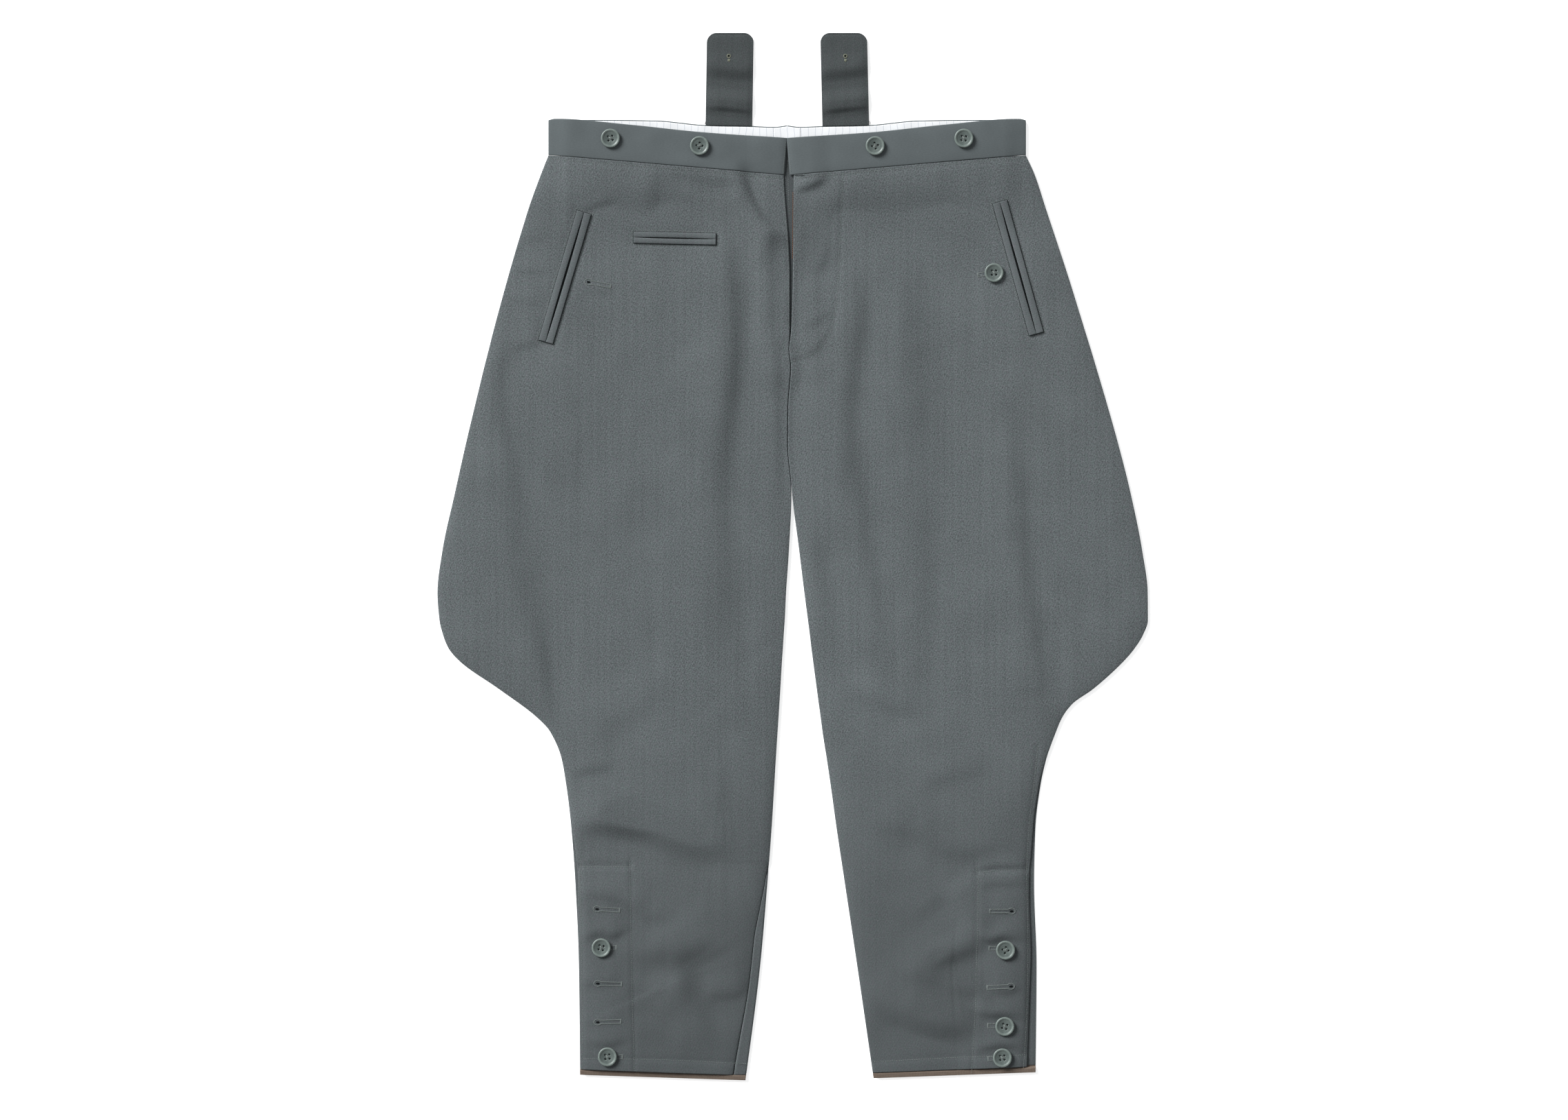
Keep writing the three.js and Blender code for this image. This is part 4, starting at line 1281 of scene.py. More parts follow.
def front_seam(x):
    """Height of the fronts' waist seam."""
    right = x < CENTER_BACK
    center = np.where(right, SLIT_LOW["right"], SLIT_LOW["left"])
    side = np.where(right, BAND_SIDE["right"], BAND_SIDE["left"])
    return lerp(WAIST_SEAM, WAIST_SEAM + SIDE_RISE, (x - center) / (side - center)) + SOLID_GAP


def back_seam(x):
    """Height of the backs' waist seam."""
    side = np.where(x < CENTER_BACK, BAND_SIDE["right"], BAND_SIDE["left"])
    t = (x - CENTER_BACK) / (side - CENTER_BACK)
    return lerp(WAIST_SEAM + BACK_RISE, WAIST_SEAM + SIDE_RISE, t) + SOLID_GAP


def front_band_top(x):
    return front_band_height(np.abs(x - CENTER_BACK))


def back_band_top(x):
    return back_band_height(np.abs(x - CENTER_BACK))


def band_plan(top, foot, top_height, foot_height, step=FINE_STEP):
    """Plan of a piece of band between two x at its top and two at its foot."""
    u = steps(abs(top[1] - top[0]), step)
    top_x, foot_x = lerp(top[0], top[1], u), lerp(foot[0], foot[1], u)
    top_y, foot_y = top_height(top_x), foot_height(foot_x)
    v = steps(float(np.mean(top_y - foot_y)), step)[:, None]
    return np.stack([lerp(top_x, foot_x, v), lerp(top_y, foot_y, v)], axis=2)


BAND_CROWN = 0.45  # the waistband's cloth stands up this much between its edges
BAND_DENTS = {"height": 0.14, "cell": 24, "seed": 5}
BAND_SQUEEZE = 2.2  # the dents are this much longer along the waistband than across it
BAND_MEETS = 0.2  # the halves press together by this much at the top of the slit


def band_underside(x, y):
    """The front waistband lies on the layers below it, slightly crowned and dented."""
    up = np.clip((y - front_seam(x)) / (front_band_top(x) - front_seam(x)), 0, 1)
    crown = BAND_CROWN * (1 - (2 * up - 1) ** 4)
    uneven = dents(x, y * BAND_SQUEEZE, **BAND_DENTS)
    return front_underside(x, y, detail=False) + crown + uneven


def front_bands():
    spans = {
        "right": (
            (BAND_SIDE["right"], SLIT_TOP + BAND_MEETS),
            (BAND_SIDE["right"], BAND_SLIT["right"]),
        ),
        "left": ((SLIT_TOP - BAND_MEETS, BAND_SIDE["left"]), (BAND_SLIT["left"], BAND_SIDE["left"])),
    }
    for side, (top, foot) in spans.items():
        plan = band_plan(top, foot, front_band_top, front_seam)
        mesh = shell_mesh(raised(plan, band_underside, CLOTH), CLOTH)
        lay_sheet(f"waistband_front_{side}", mesh, "band", "band_cloth", plan,
                  [f"waistband_lining_{side}_cloth"])


BACK_BAND_STEP = 3.0


def back_bands():
    spans = {
        "right": (BAND_SIDE["right"], CENTER_BACK - 0.5 * SOLID_GAP),
        "left": (CENTER_BACK + 0.5 * SOLID_GAP, BAND_SIDE["left"]),
    }
    for side, span in spans.items():
        plan = band_plan(span, span, back_band_top, back_seam, BACK_BAND_STEP)
        mesh = shell_mesh(raised(plan, on_floor, CLOTH), CLOTH)
        lay_sheet(f"waistband_back_{side}", mesh, "band", "band_cloth", plan, [])


LINING_END = 208
LINING_INSET = 1.3  # the dark edge of the back waistband that shows above the lining
CENTER_PIECE = 13
CENTER_PROUD = 0.25  # how far the centre piece stands above its neighbours
LINING_LIES = 0.05  # height of the lining over the back waistband, beside its ripple
LINING_RIPPLE = {"height": 0.12, "length": 5.2}
LINING_DENTS = {"height": 0.1, "cell": 9, "seed": 21}


def lining_underside(x, y):
    ripple = LINING_RIPPLE["height"] * np.sin(x / LINING_RIPPLE["length"])
    return SEAM_LEVEL + LINING_LIES + (ripple + dents(x, y, **LINING_DENTS))


def band_linings():
    spans = {
        "waistband_lining_right": (CENTER_BACK - LINING_END, CENTER_BACK - CENTER_PIECE),
        "lining_center_back": (CENTER_BACK - CENTER_PIECE, CENTER_BACK + CENTER_PIECE),
        "waistband_lining_left": (CENTER_BACK + CENTER_PIECE, CENTER_BACK + LINING_END),
    }
    for name, span in spans.items():
        plan = band_plan(
            span, span,
            lambda x: back_band_top(x) - LINING_INSET,
            lambda x: back_band_top(x) - BAND_HEIGHT,
        )
        over = CENTER_PROUD if name == "lining_center_back" else 0
        points = lifted(plan, lining_underside, over + 0.5 * THIN_CLOTH)
        lay_sheet(name, shell_mesh(points, THIN_CLOTH), "lining", "lining", plan,
                  ["waistband_back_right_cloth", "waistband_back_left_cloth"])


STRIP_LIES = 0.25  # height of the fly strip over the layer below it
STRIP_ROWS = 3.0


def fly_strip_underside(x, y):
    return SEAM_LEVEL + LAYER * over_lining(x, y) + STRIP_LIES


def fly_strip():
    strip = FLY_STRIP
    y = lerp(strip["top"], strip["bottom"], steps(strip["top"] - strip["bottom"], STRIP_ROWS))
    share = lerp(-1, 1, steps(2 * strip["half_width"], FINE_STEP))
    plan = np.stack(np.meshgrid(share * strip["half_width"] + strip["middle"], y), axis=2)
    mesh = shell_mesh(raised(plan, fly_strip_underside, THIN_CLOTH), THIN_CLOTH)
    lay_sheet("fly_strip", mesh, "strip", "twill", plan, ["back_right_cloth", "back_left_cloth"])


TAPE_CURL = 2.4  # the tape curls up this much where it shows below the hem
TAPE_CURLS = (-0.4, 1.0)  # it rises between these distances below the hem
TAPE_START = BACK_HEM + 0.3  # the tape's upper edge is caught under the back's hem
TAPE_ROWS = 0.6
TAPE_STEP = 2.0


def tape_end(edge, shift):
    """One end of each row of a hem tape."""

    def end(t):
        y = HEM + shift + lerp(TAPE_START, -TAPE_SHOWS, t)
        return edge(y), y

    return end


def hem_tapes():
    edges = {
        "right": ((right_outer, HEM_SHIFT["right_outer"]), (right_inner, HEM_SHIFT["right_inner"])),
        "left": ((left_inner, HEM_SHIFT["left_inner"]), (left_outer, HEM_SHIFT["left_outer"])),
    }
    down = steps(TAPE_START + TAPE_SHOWS, TAPE_ROWS)
    curl = TAPE_CURL * ramp(lerp(-TAPE_START, TAPE_SHOWS, down)[:, None], *TAPE_CURLS)
    for side, (left, right) in edges.items():
        plan = ruled_plan(tape_end(*left), tape_end(*right), down, TAPE_STEP)
        points = raised(plan, lambda x, y: on_floor(x, y) + curl, THIN_CLOTH)
        lay_sheet(f"hem_tape_{side}", shell_mesh(points, THIN_CLOTH), "tape", "hem_tape", plan,
                  [f"front_{side}_cloth"], area=sheet_area(points))


def tab_half_width(below):
    """Half the width of a tab, which has round corners, at a distance below its top."""
    rise = np.maximum(0, TAB_CORNER - below)
    return 0.5 * TAB_WIDTH - TAB_CORNER + np.sqrt(np.maximum(TAB_CORNER**2 - rise**2, 0))


def tab_middle(tab, y):
    """Where the middle line of a slightly slanting tab is at a height."""
    foot = back_band_top(tab["foot"]) + SOLID_GAP
    return lerp(tab["top"], tab["foot"], (TAB_TOP - y) / (TAB_TOP - foot))


TAB_SLANT = 0.10  # the tabs' ripples run down towards the middle by this share
TAB_LIES = 0.35
TAB_FLATTER = 0.45  # the ripples are this much lower at the tab's edges
TAB_DENTS = {"height": 0.12, "cell": 8, "seed": 31}
EDGE_GROOVE = {"in": 1.9, "depth": 0.35, "half": 0.8}  # left by the turned edges of the tab
TAB_CREASE = {"below": 76.5, "depth": 0.9, "half": 2.2}


def dip(distance, shape):
    """A soft trough along the line where the distance is 0."""
    return -shape["depth"] * np.exp(-((distance / shape["half"]) ** 2))


def tab_underside(tab):
    """A tab ripples along its length, its crease slopes, and its edges turn down."""

    def level(x, y):
        off = x - tab_middle(tab, y)
        below = TAB_TOP - y + TAB_SLANT * off * tab["outside"]
        edge = np.abs(off) / (0.5 * TAB_WIDTH)
        ripple = tab_lift(np.clip(below, 0, 100)) * (1 - TAB_FLATTER * edge**4)
        crease = dip(below - TAB_CREASE["below"], TAB_CREASE) * (1 - edge**2)
        from_side = tab_half_width(TAB_TOP - y) - np.abs(off)
        from_edge = np.minimum(from_side, TAB_TOP - y)
        groove = dip(from_edge - EDGE_GROOVE["in"], EDGE_GROOVE)
        uneven = dents(x, y, **TAB_DENTS)
        return FLOOR_GAP + np.maximum(0, TAB_LIES + ripple + crease + groove + uneven)

    return level


TAB_TUCK = 0.5  # the foot of a tab is caught this deep behind the waistband's edge
TAB_FOOT_EASES = 20  # the rows of a tab take the slope of the waistband's edge over this
CORNER_ROWS = 14


def tab_plan(tab):
    """Plan of a tab from its rounded top to the waistband's edge."""
    foot = float(back_band_top(tab["foot"])) + SOLID_GAP
    length = TAB_TOP - foot
    rounding = TAB_CORNER * (1 - np.cos(np.linspace(0, 0.5 * np.pi, CORNER_ROWS)))
    straight = lerp(TAB_CORNER, length, steps(length - TAB_CORNER, FINE_STEP)[len(RIM):])
    below = np.concatenate([rounding, straight])
    y = TAB_TOP - below
    across = steps(TAB_WIDTH, FINE_STEP)[None, :] * 2 - 1
    x = tab_middle(tab, y)[:, None] + tab_half_width(below)[:, None] * across
    rise = ramp(below, length - TAB_FOOT_EASES, length)[:, None]
    return np.stack([x, y[:, None] + rise * (back_band_top(x) - TAB_TUCK - foot)], axis=2)


def back_tabs():
    for name, tab in TABS.items():
        plan = tab_plan(tab)
        mesh = shell_mesh(raised(plan, tab_underside(tab), CLOTH), CLOTH)
        lay_sheet(name, mesh, "tab", "tab_cloth", plan, [])


# ---- pockets --------------------------------------------------------------------------------

LIP_CROWN = 0.4
LIP_ROUND = 0.7  # below 1 the lip's roll is fuller than a half wave
LIP_LIES = 0.05
LIP_STEPS = (2.0, 0.7)  # along and across
MOUTH_ROWS = 80
MOUTH_ENDS = (0.002, 0.998)
MOUTH_ROUND = 0.6
MOUTH_LIES = 0.35  # the painted shade of the mouth lies this far over the front, between the lips
MOUTH_CLOTH = 0.3
MOUTH_MARGIN = 0.12  # it reaches this far under each lip
GROOVE_OFFSET = 0.2  # the painted shadow line where the lips meet the front
GROOVE_LEVEL = 0.12
GROOVE_RADIUS = 0.3
GROOVE_POINTS = 40  # along each side of the box


def mouth_half(pocket, along):
    """Half the width of a pocket's mouth, which closes to a point at both ends."""
    return pocket["mouth"] * np.sin(np.pi * np.clip(along, 0, 1)) ** MOUTH_ROUND


def pocket_lip(name, pocket, side, front):
    """One lip of a jetted pocket: a soft roll beside the slit."""
    start, end = np.array(pocket["from"]), np.array(pocket["to"])
    across = directions(start, end)[1] * side
    s = steps(float(np.linalg.norm(end - start)), LIP_STEPS[0])[:, None]
    t = steps(pocket["lip"], LIP_STEPS[1])
    near = mouth_half(pocket, s)
    off = near + t * (0.5 * SLIT + pocket["lip"] - near)
    plan = lerp(start, end, s[..., None]) + across * off[..., None]
    grid = lifted(plan, plain_front_top, LIP_LIES + 0.5 * THIN_CLOTH)
    grid[..., 2] += LIP_CROWN * np.sin(np.pi * t) ** LIP_ROUND
    mesh = shell_mesh(facing_up(grid), THIN_CLOTH)
    place(make_object(f"on_{front}_{name}", *mesh, materials["lip"]), "twill", [name])


def mouth_mesh(pocket):
    """A dark sheet of painted shade between a pocket's lips, where the pocket's inside would be in
    shade.
    """
    start, end = np.array(pocket["from"]), np.array(pocket["to"])
    across = directions(start, end)[1]
    s = np.linspace(*MOUTH_ENDS, MOUTH_ROWS)[:, None]
    half = mouth_half(pocket, s) + MOUTH_MARGIN
    middle = lerp(start, end, s)
    plan = np.stack([middle + across * half, middle, middle - across * half], axis=1)
    return shell_mesh(facing_up(lifted(plan, front_top, MOUTH_LIES)), MOUTH_CLOTH)


def groove_mesh(pocket):
    """A painted shadow: a dark line round a pocket's lips, where the gap between lips and front would
    be in shade.
    """
    border = closed(pocket_box(pocket, GROOVE_OFFSET))
    along = np.linspace(0, 1, GROOVE_POINTS)[:, None]
    path = np.vstack([lerp(a, b, along) for a, b in zip(border, border[1:])])
    path = lifted(path, band_or_front_top, GROOVE_LEVEL)
    apart = np.linalg.norm(np.diff(path, axis=0), axis=1) > 0.01
    return thread_mesh(path[:-1][apart], path[1:][apart], GROOVE_RADIUS, 0.0)


def pocket_slit(name, pocket, front):
    mesh = join_meshes([mouth_mesh(pocket), groove_mesh(pocket)])
    place(make_object(f"on_{front}_slit_{name}", *mesh, materials["dark"]), "twill")


def pockets():
    for side, pocket in SIDE_POCKETS.items():
        outer = -1 if side == "right" else 1
        pocket_lip(f"pocket_welt_{side}_outer", pocket, outer, f"front_{side}")
        pocket_lip(f"pocket_welt_{side}_inner", pocket, -outer, f"front_{side}")
        pocket_slit(f"side_{side}", pocket, f"front_{side}")
    pocket_lip("watch_welt_upper", WATCH_POCKET, 1, "front_right")
    pocket_lip("watch_welt_lower", WATCH_POCKET, -1, "front_right")
    pocket_slit("watch", WATCH_POCKET, "front_right")


# ---- stitching ------------------------------------------------------------------------------


def band_or_front_top(x, y):
    """Top of the cloth on the fronts and on the front waistband."""
    on_band = y > front_seam(x)
    return np.where(on_band, band_underside(x, y), front_underside(x, y)) + CLOTH


def stitching():
    lines = {"front_right": [], "front_left": []}
    for points in FRONT_STITCHES.values():
        middle = np.mean([x for x, _ in points])
        side = "front_right" if middle < CENTER_BACK + 0.5 else "front_left"
        lines[side].append(smooth_line(points))
    for box in POCKET_BOXES:
        side = "front_right" if box[:, 0].mean() < 0 else "front_left"
        border = closed(box)
        lines[side].extend([border[i:i + 2] for i in range(4)])
    for seed, (side, found) in enumerate(lines.items()):
        mesh = stitch_mesh(found, band_or_front_top, seed)
        place(make_object(f"on_{side}_stitching", *mesh, materials["thread"]), "twill")


STRIP_STITCHES = [
    [(-4.5, 386), (-4.1, 361), (-3.2, 332)],
    [(-6.6, 380), (-6.2, 352)],
]
STRIP_SEED = 7


def fly_strip_top(x, y):
    return fly_strip_underside(x, y) + THIN_CLOTH


def fly_strip_stitching():
    lines = [smooth_line(points) for points in STRIP_STITCHES]
    mesh = stitch_mesh(lines, fly_strip_top, STRIP_SEED)
    place(make_object("fly_strip_stitching", *mesh, materials["thread"]), "twill")


BROWN_RADIUS = 0.55
BROWN_HEIGHTS = (354, 289)


def brown_edge():
    """Thin brown edge of the facing that shows inside the slit."""
    y = np.linspace(*BROWN_HEIGHTS, 34)
    x = left_inner(y) - BROWN_RADIUS
    z = front_underside(x + 2 * BROWN_RADIUS, y) + BROWN_RADIUS
    path = np.column_stack([x, y, z])
    mesh = thread_mesh(path[:-1], path[1:], BROWN_RADIUS, 0.0)
    place(make_object("on_front_left_brown_edge", *mesh, materials["rust"]), "twill")


# ---- buttonholes ----------------------------------------------------------------------------

HOLE_HALF = 1.75  # half width of the stitched slot
EYE_RADIUS = 2.9
EYE_STRETCH = 1.25  # the eye is this much longer than wide
EYE_POINTS = 22
HOLE_PITCH = 0.62
HOLE_WIDTH = 1.15  # of the row of close stitches round a hole
TAIL_WIDTH = 1.0
HOLE_THREAD = {"lies": 0.12, "radius": 0.3, "arch": 0.18}
BAR_HALF = 2.8
BAR_PITCH = 0.35
EYE_DARK = {"half_length": 1.9, "half_width": 1.05, "tip": 0.02, "lies": 0.1, "cloth": 0.2}
EYE_ROWS = 17


def keyhole_outline(eye, end):
    """The middle line of the buttonhole stitch, from the end round the eye and back."""
    ahead, aside = directions(eye, end)
    join = math.asin(HOLE_HALF / EYE_RADIUS)
    angles = np.linspace(join, 2 * np.pi - join, EYE_POINTS)
    shape = [EYE_STRETCH * math.cos(a) * ahead + math.sin(a) * aside for a in angles]
    around = [eye + EYE_RADIUS * way for way in shape]
    return np.array([end + aside * HOLE_HALF, *around, end - aside * HOLE_HALF])


def close_stitches(line, width):
    """Starts and ends of close stitches lying across a line."""
    at, ahead = along_line(line, HOLE_PITCH)
    reach = left_of(ahead) * 0.5 * width
    return at - reach, at + reach


def bar(end, ahead, aside):
    """Starts and ends of the bar across the end of a buttonhole."""
    middle = end + ahead * BAR_PITCH * np.arange(3)[:, None]
    return middle - aside * BAR_HALF, middle + aside * BAR_HALF


def hole_threads(*parts):
    """Mesh of threads on the front, from pairs of starts and ends."""
    return threads_on(front_top, *zip(*parts), HOLE_THREAD)


def eye_mesh(eye, ahead, aside):
    """Painted shade: a dark sheet in a buttonhole's eye, where the hole would be in shade."""
    u = np.linspace(0, 1, EYE_ROWS)
    reach = ahead * EYE_DARK["half_length"]
    middle = lerp(eye - reach, eye + reach, u[:, None])
    eye_round = np.sqrt(np.clip(1 - (2 * u - 1) ** 2, 0, 1))
    half = np.maximum(EYE_DARK["tip"], EYE_DARK["half_width"] * eye_round)[:, None]
    plan = np.stack([middle + aside * half, middle, middle - aside * half], axis=1)
    return shell_mesh(facing_up(lifted(plan, front_top, EYE_DARK["lies"])), EYE_DARK["cloth"])


def buttonhole(eye, end):
    """Thread and dark meshes of one keyhole buttonhole."""
    ahead, aside = directions(eye, end)
    stitches = close_stitches(keyhole_outline(eye, end), HOLE_WIDTH)
    return hole_threads(stitches, bar(end, ahead, aside)), eye_mesh(eye, ahead, aside)


def hole_tail(start, end):
    """The end of a buttonhole that a button stands in."""
    ahead, aside = directions(start, end)
    sides = [[start + aside * off, end + aside * off] for off in (HOLE_HALF, -HOLE_HALF)]
    first, second = (close_stitches(side, TAIL_WIDTH) for side in sides)
    return hole_threads(first, bar(end, ahead, aside), second)


def buttonholes():
    for front, holes in BUTTONHOLES.items():
        found = [buttonhole(*hole) for hole in holes.values()]
        tails = [hole_tail(*tail) for tail in HOLE_TAILS[front]]
        threads = join_meshes([threads for threads, _ in found] + tails)
        place(make_object(f"on_{front}_buttonholes", *threads, materials["hole_thread"]), "twill")
        dark = join_meshes([dark for _, dark in found])
        place(make_object(f"on_{front}_hole_shadows", *dark, materials["dark"]), "twill")


# ---- tabs' sewing ---------------------------------------------------------------------------

EYELETS = {"tab_right": (-62.0, 486.4), "tab_left": (51.3, 486.4)}
OVERCAST_PITCH = 1.25
OVERCAST = {
    "in": 1.1, "out": 0.05, "lean": 0.35, "lies": (-0.25, -0.45), "radius": 0.24, "arch": 0.1,
}
# The tacks at a tab's outer foot corner, and the loose stitches below an eyelet, as starts and ends.
TACKS = (
    [(-1.6, 0), (-0.4, -1.4), (0.7, 1.6)],
    [(0.9, -0.9), (0.2, 1.9), (1.4, -0.5)],
)
LOOSE = (
    [(-0.9, -2.8), (-0.3, -2.6), (0.4, -2.7), (1.0, -2.9), (-1.3, -4.4)],
    [(-0.7, -5.6), (0.2, -6.0), (0.5, -5.9), (0.8, -5.3), (1.4, -4.0)],
)
SPOKES = {"count": 18, "from": 1.0, "to": 2.2, "lies": 0.12, "radius": 0.4, "arch": 0.15}
EYELET_HOLE = {"radius": 1.1, "middle": 0.05, "lies": 0.1, "cloth": 0.15}


def overcasting(tab, top):
    """Slanting stitches over both edges of a tab, and the tacks at its foot."""
    below = np.arange(TAB_CORNER, TAB_TOP - back_band_top(tab["foot"]) - 1, OVERCAST_PITCH)
    y = TAB_TOP - below
    starts, ends = [], []
    for side in (-1, 1):
        edge = tab_middle(tab, y) + side * tab_half_width(below)
        starts.append(np.column_stack([edge - side * OVERCAST["in"], y - OVERCAST["lean"]]))
        ends.append(np.column_stack([edge - side * OVERCAST["out"], y + OVERCAST["lean"]]))
    corner = (tab["foot"] + tab["outside"] * 0.5 * TAB_WIDTH, y[-1] + 0.5)
    starts.append(np.add(TACKS[0], corner))
    ends.append(np.add(TACKS[1], corner))
    return threads_on(top, starts, ends, OVERCAST)


def eyelet(middle, top):
    """The spokes of thread round an eyelet, and a few loose stitches below it."""
    angles = 2 * np.pi * np.arange(SPOKES["count"]) / SPOKES["count"]
    spokes = np.column_stack([np.cos(angles), np.sin(angles)])
    starts = middle + np.vstack([spokes * SPOKES["from"], LOOSE[0]])
    ends = middle + np.vstack([spokes * SPOKES["to"], LOOSE[1]])
    return threads_on(top, starts, ends, SPOKES)


def eyelet_hole(middle, top):
    """Painted shade: a dark disc in an eyelet, where the hole would be in shade."""
    angles = np.linspace(0, -2 * np.pi, EYE_ROWS)
    radii = np.linspace(EYELET_HOLE["radius"], EYELET_HOLE["middle"], 4)[:, None, None]
    plan = middle + radii * np.column_stack([np.cos(angles), np.sin(angles)])
    return shell_mesh(lifted(plan, top, EYELET_HOLE["lies"]), EYELET_HOLE["cloth"])


def tab_sewing(name):
    """The overcast edges, the thread eyelet and the tacks at the foot of a tab."""
    under = tab_underside(TABS[name])

    def top(x, y):
        return under(x, y) + CLOTH

    middle = np.array(EYELETS[name])
    meshes = {
        "overcasting": (overcasting(TABS[name], top), "overcast"),
        "eyelet": (eyelet(middle, top), "brass_thread"),
        "eyelet_hole": (eyelet_hole(middle, top), "dark"),
    }
    for part, (mesh, look) in meshes.items():
        place(make_object(f"{name}_{part}", *mesh, materials[look]), "tab_cloth")


# ---- buttons --------------------------------------------------------------------------------

BUTTON_PROFILE = table(("radius", "height"), [
    (0.01, 0.3),
    (5.8, 0.2),
    (8.2, 0.8),
    (9.05, 1.5),
    (9.25, 2.1),
    (9.1, 2.6),
    (8.7, 2.93),
    (8.2, 3.0),
    (7.7, 2.93),
    (7.2, 2.7),
    (6.7, 2.4),
    (6.1, 2.22),
    (5.2, 2.12),
    (4.6, 2.04),
    (4.1, 1.86),
    (0.01, 1.8),
])
BUTTON_SIDES = 56
HOLE_SIDES = 16
HOLE_RADIUS = 1.05
HOLE_SPREAD = 1.95
CUTTER_ENDS = (-1, 5)
CROSS = {"shift": 0.22, "low": 1.95, "high": 2.3, "radius": 0.26, "arch": 0.8}
SHANK = {"reach": 1.3, "aside": 0.6, "level": 0.1, "radius": 0.8}
BUTTON_TURNS = {
    "button_waist_1": 8, "button_waist_2": 40, "button_waist_3": -33, "button_waist_4": -5,
    "button_pocket_left": 2, "button_calf_right_1": -12, "button_calf_right_2": 5,
    "button_calf_left_1": 35, "button_calf_left_2": -14, "button_calf_left_3": 4,
}


def ring(radius, sides, height, x=0.0, y=0.0):
    """Vertices of a level circle."""
    angle = 2 * np.pi * np.arange(sides) / sides
    across, along = x + radius * np.cos(angle), y + radius * np.sin(angle)
    return np.column_stack([across, along, np.full(sides, height)])


def button_mesh():
    """A four-hole button with a raised rim round a shallow dish, standing on z = 0."""
    rings = [ring(radius, BUTTON_SIDES, height) for radius, height in zip(*BUTTON_PROFILE.values())]
    faces = ring_faces(len(rings), BUTTON_SIDES)
    disc = make_object("button_disc", np.vstack(rings), faces, materials["button"])
    for dx, dy in ((-1, -1), (1, -1), (1, 1), (-1, 1)):
        cutter = cylinder(dx * HOLE_SPREAD, dy * HOLE_SPREAD)
        cut = disc.modifiers.new("hole", "BOOLEAN")
        cut.operation = "DIFFERENCE"
        cut.solver = "EXACT"
        cut.object = cutter
        apply_modifiers(disc)
        bpy.data.objects.remove(cutter)
    mesh = disc.data
    bpy.data.objects.remove(disc)
    return mesh


def cylinder(x, y):
    """A rod that cuts one hole."""
    vertices = np.vstack([ring(HOLE_RADIUS, HOLE_SIDES, height, x, y) for height in CUTTER_ENDS])
    return make_object("hole_cutter", vertices, ring_faces(2, HOLE_SIDES), materials["dark"])


def apply_modifiers(piece):
    """Replaces a piece's mesh by the result of its modifiers."""
    graph = bpy.context.evaluated_depsgraph_get()
    result = bpy.data.meshes.new_from_object(piece.evaluated_get(graph))
    piece.modifiers.clear()
    piece.data = result


def button_threads():
    """Crossed threads through the four holes, and the shank below."""
    s = HOLE_SPREAD
    low, high = CROSS["low"], CROSS["high"]
    starts, ends = [], []
    for shift in (-CROSS["shift"], CROSS["shift"]):
        starts += [(-s + shift, -s - shift, low), (-s - shift, s - shift, high)]
        ends += [(s + shift, s - shift, low), (s - shift, -s - shift, high)]
    across = thread_mesh(starts, ends, CROSS["radius"], CROSS["arch"])
    x, y, z = SHANK["reach"], SHANK["aside"], SHANK["level"]
    shank = thread_mesh([(-x, -y, z), (-x, y, z)], [(x, -y, z), (x, y, z)], SHANK["radius"], 0.0)
    return join_meshes([across, shank])


def buttons():
    mesh = button_mesh()
    thread_vertices, thread_faces = button_threads()
    for node, turn in BUTTON_TURNS.items():
        low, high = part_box(node)
        middle = 0.5 * (low + high)
        angle = math.radians(turn)
        piece = bpy.data.objects.new(f"{node}_disc", mesh.copy())
        bpy.context.scene.collection.objects.link(piece)
        threads = make_object(f"{node}_thread", thread_vertices, thread_faces, materials["thread"])
        foot = float(band_or_front_top(middle.x / MM, middle.y / MM)) * MM
        for part in (piece, threads):
            part.location = (middle.x, middle.y, foot)
            part.rotation_euler = (0, 0, angle)
        place(piece, "button", [node])
        place(threads, "button")


# ---- studio ---------------------------------------------------------------------------------

AMBIENT = 0.36
AMBIENT_COLOR = (0.98, 0.99, 1, 1)
FLOOR_HALF = 6000
FLOOR_COLOR = (0.95, 0.95, 0.95, 1)
FLOOR_GLOW = 0.6  # the breeches lie on a lit white table
KEY_FROM = (-0.74, 0.67, 0.49)  # the way to the key light
KEY_ANGLE = 26  # how wide it looks, in degrees
KEY_POWER = 5.7


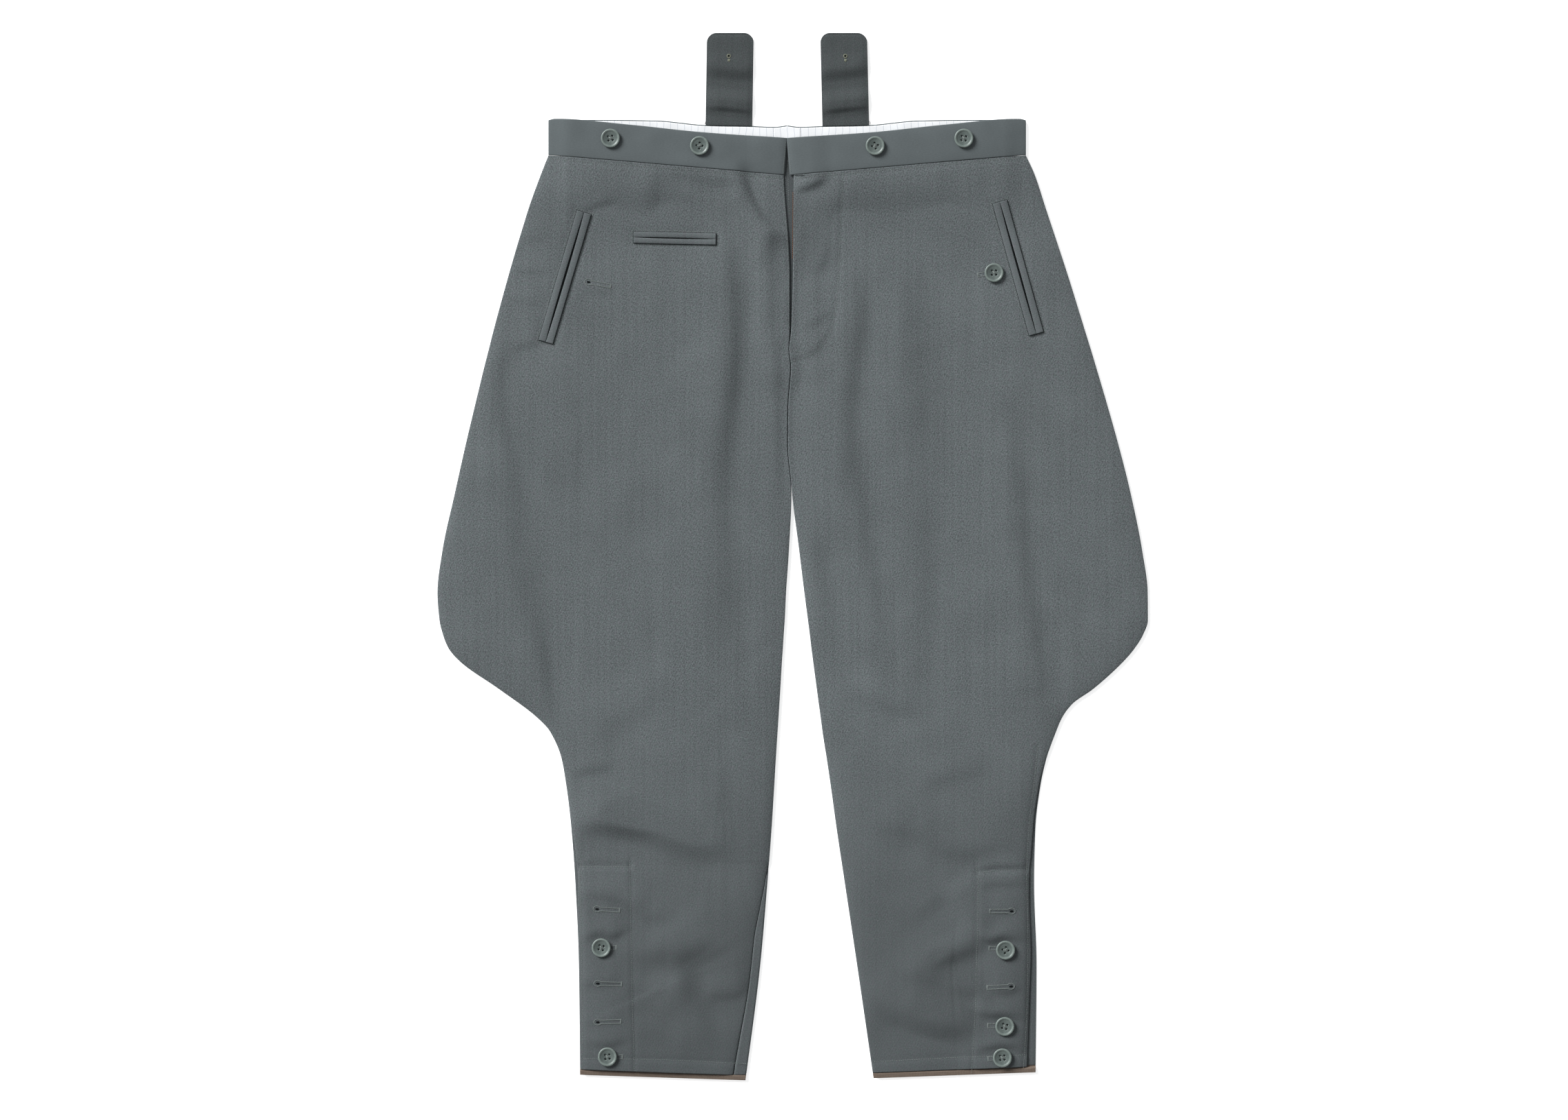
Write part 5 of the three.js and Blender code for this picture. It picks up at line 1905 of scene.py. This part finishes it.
def studio():
    """A plain pale floor, a soft key light from the waist's side, and even light all round."""
    pale = Shader("pale_floor", roughness=0.9, specular=0.1)
    pale.color(FLOOR_COLOR)
    pale.surface.inputs["Emission Color"].default_value = (1, 1, 1, 1)
    pale.surface.inputs["Emission Strength"].default_value = FLOOR_GLOW
    corners = [(x * FLOOR_HALF, y * FLOOR_HALF, 0) for x, y in ((-1, -1), (1, -1), (1, 1), (-1, 1))]
    floor = make_object("floor", corners, [[0, 1, 2, 3]], pale.material, smooth=False)

    world = bpy.data.worlds.new("studio")
    bpy.context.scene.world = world
    world.use_nodes = True
    background = world.node_tree.nodes["Background"]
    background.inputs["Color"].default_value = AMBIENT_COLOR
    background.inputs["Strength"].default_value = AMBIENT

    data = bpy.data.lights.new("key", "SUN")
    data.angle = math.radians(KEY_ANGLE)
    data.energy = KEY_POWER
    key = bpy.data.objects.new("key", data)
    key.rotation_mode = "QUATERNION"
    key.rotation_quaternion = (-Vector(KEY_FROM)).to_track_quat("-Z", "Y")
    bpy.context.scene.collection.objects.link(key)
    bpy.context.scene.view_settings.view_transform = "Standard"


FRAME_WIDTH = 1523.6  # of the floor that the picture takes in
VIEW_CENTER = (-8.4, -3.35)
LENS = 100
SENSOR = 36
CLOTH_LEVEL = 5


def camera():
    """Straight above the breeches, with the waist at the top of the picture."""
    data = bpy.data.cameras.new("camera")
    data.lens = LENS
    data.sensor_width = SENSOR
    data.clip_end = 100
    above = FRAME_WIDTH * LENS / SENSOR + CLOTH_LEVEL
    viewer = bpy.data.objects.new("camera", data)
    viewer.location = (VIEW_CENTER[0] * MM, VIEW_CENTER[1] * MM, above * MM)
    bpy.context.scene.collection.objects.link(viewer)
    bpy.context.scene.camera = viewer


# ---- the whole ------------------------------------------------------------------------------

back_panels()
back_bands()
band_linings()
fly_strip()
fly_strip_stitching()
pockets()
stitching()
brown_edge()
buttonholes()
front_panels()
front_bands()
hem_tapes()
back_tabs()
for tab_name in TABS:
    tab_sewing(tab_name)
buttons()
studio()
camera()
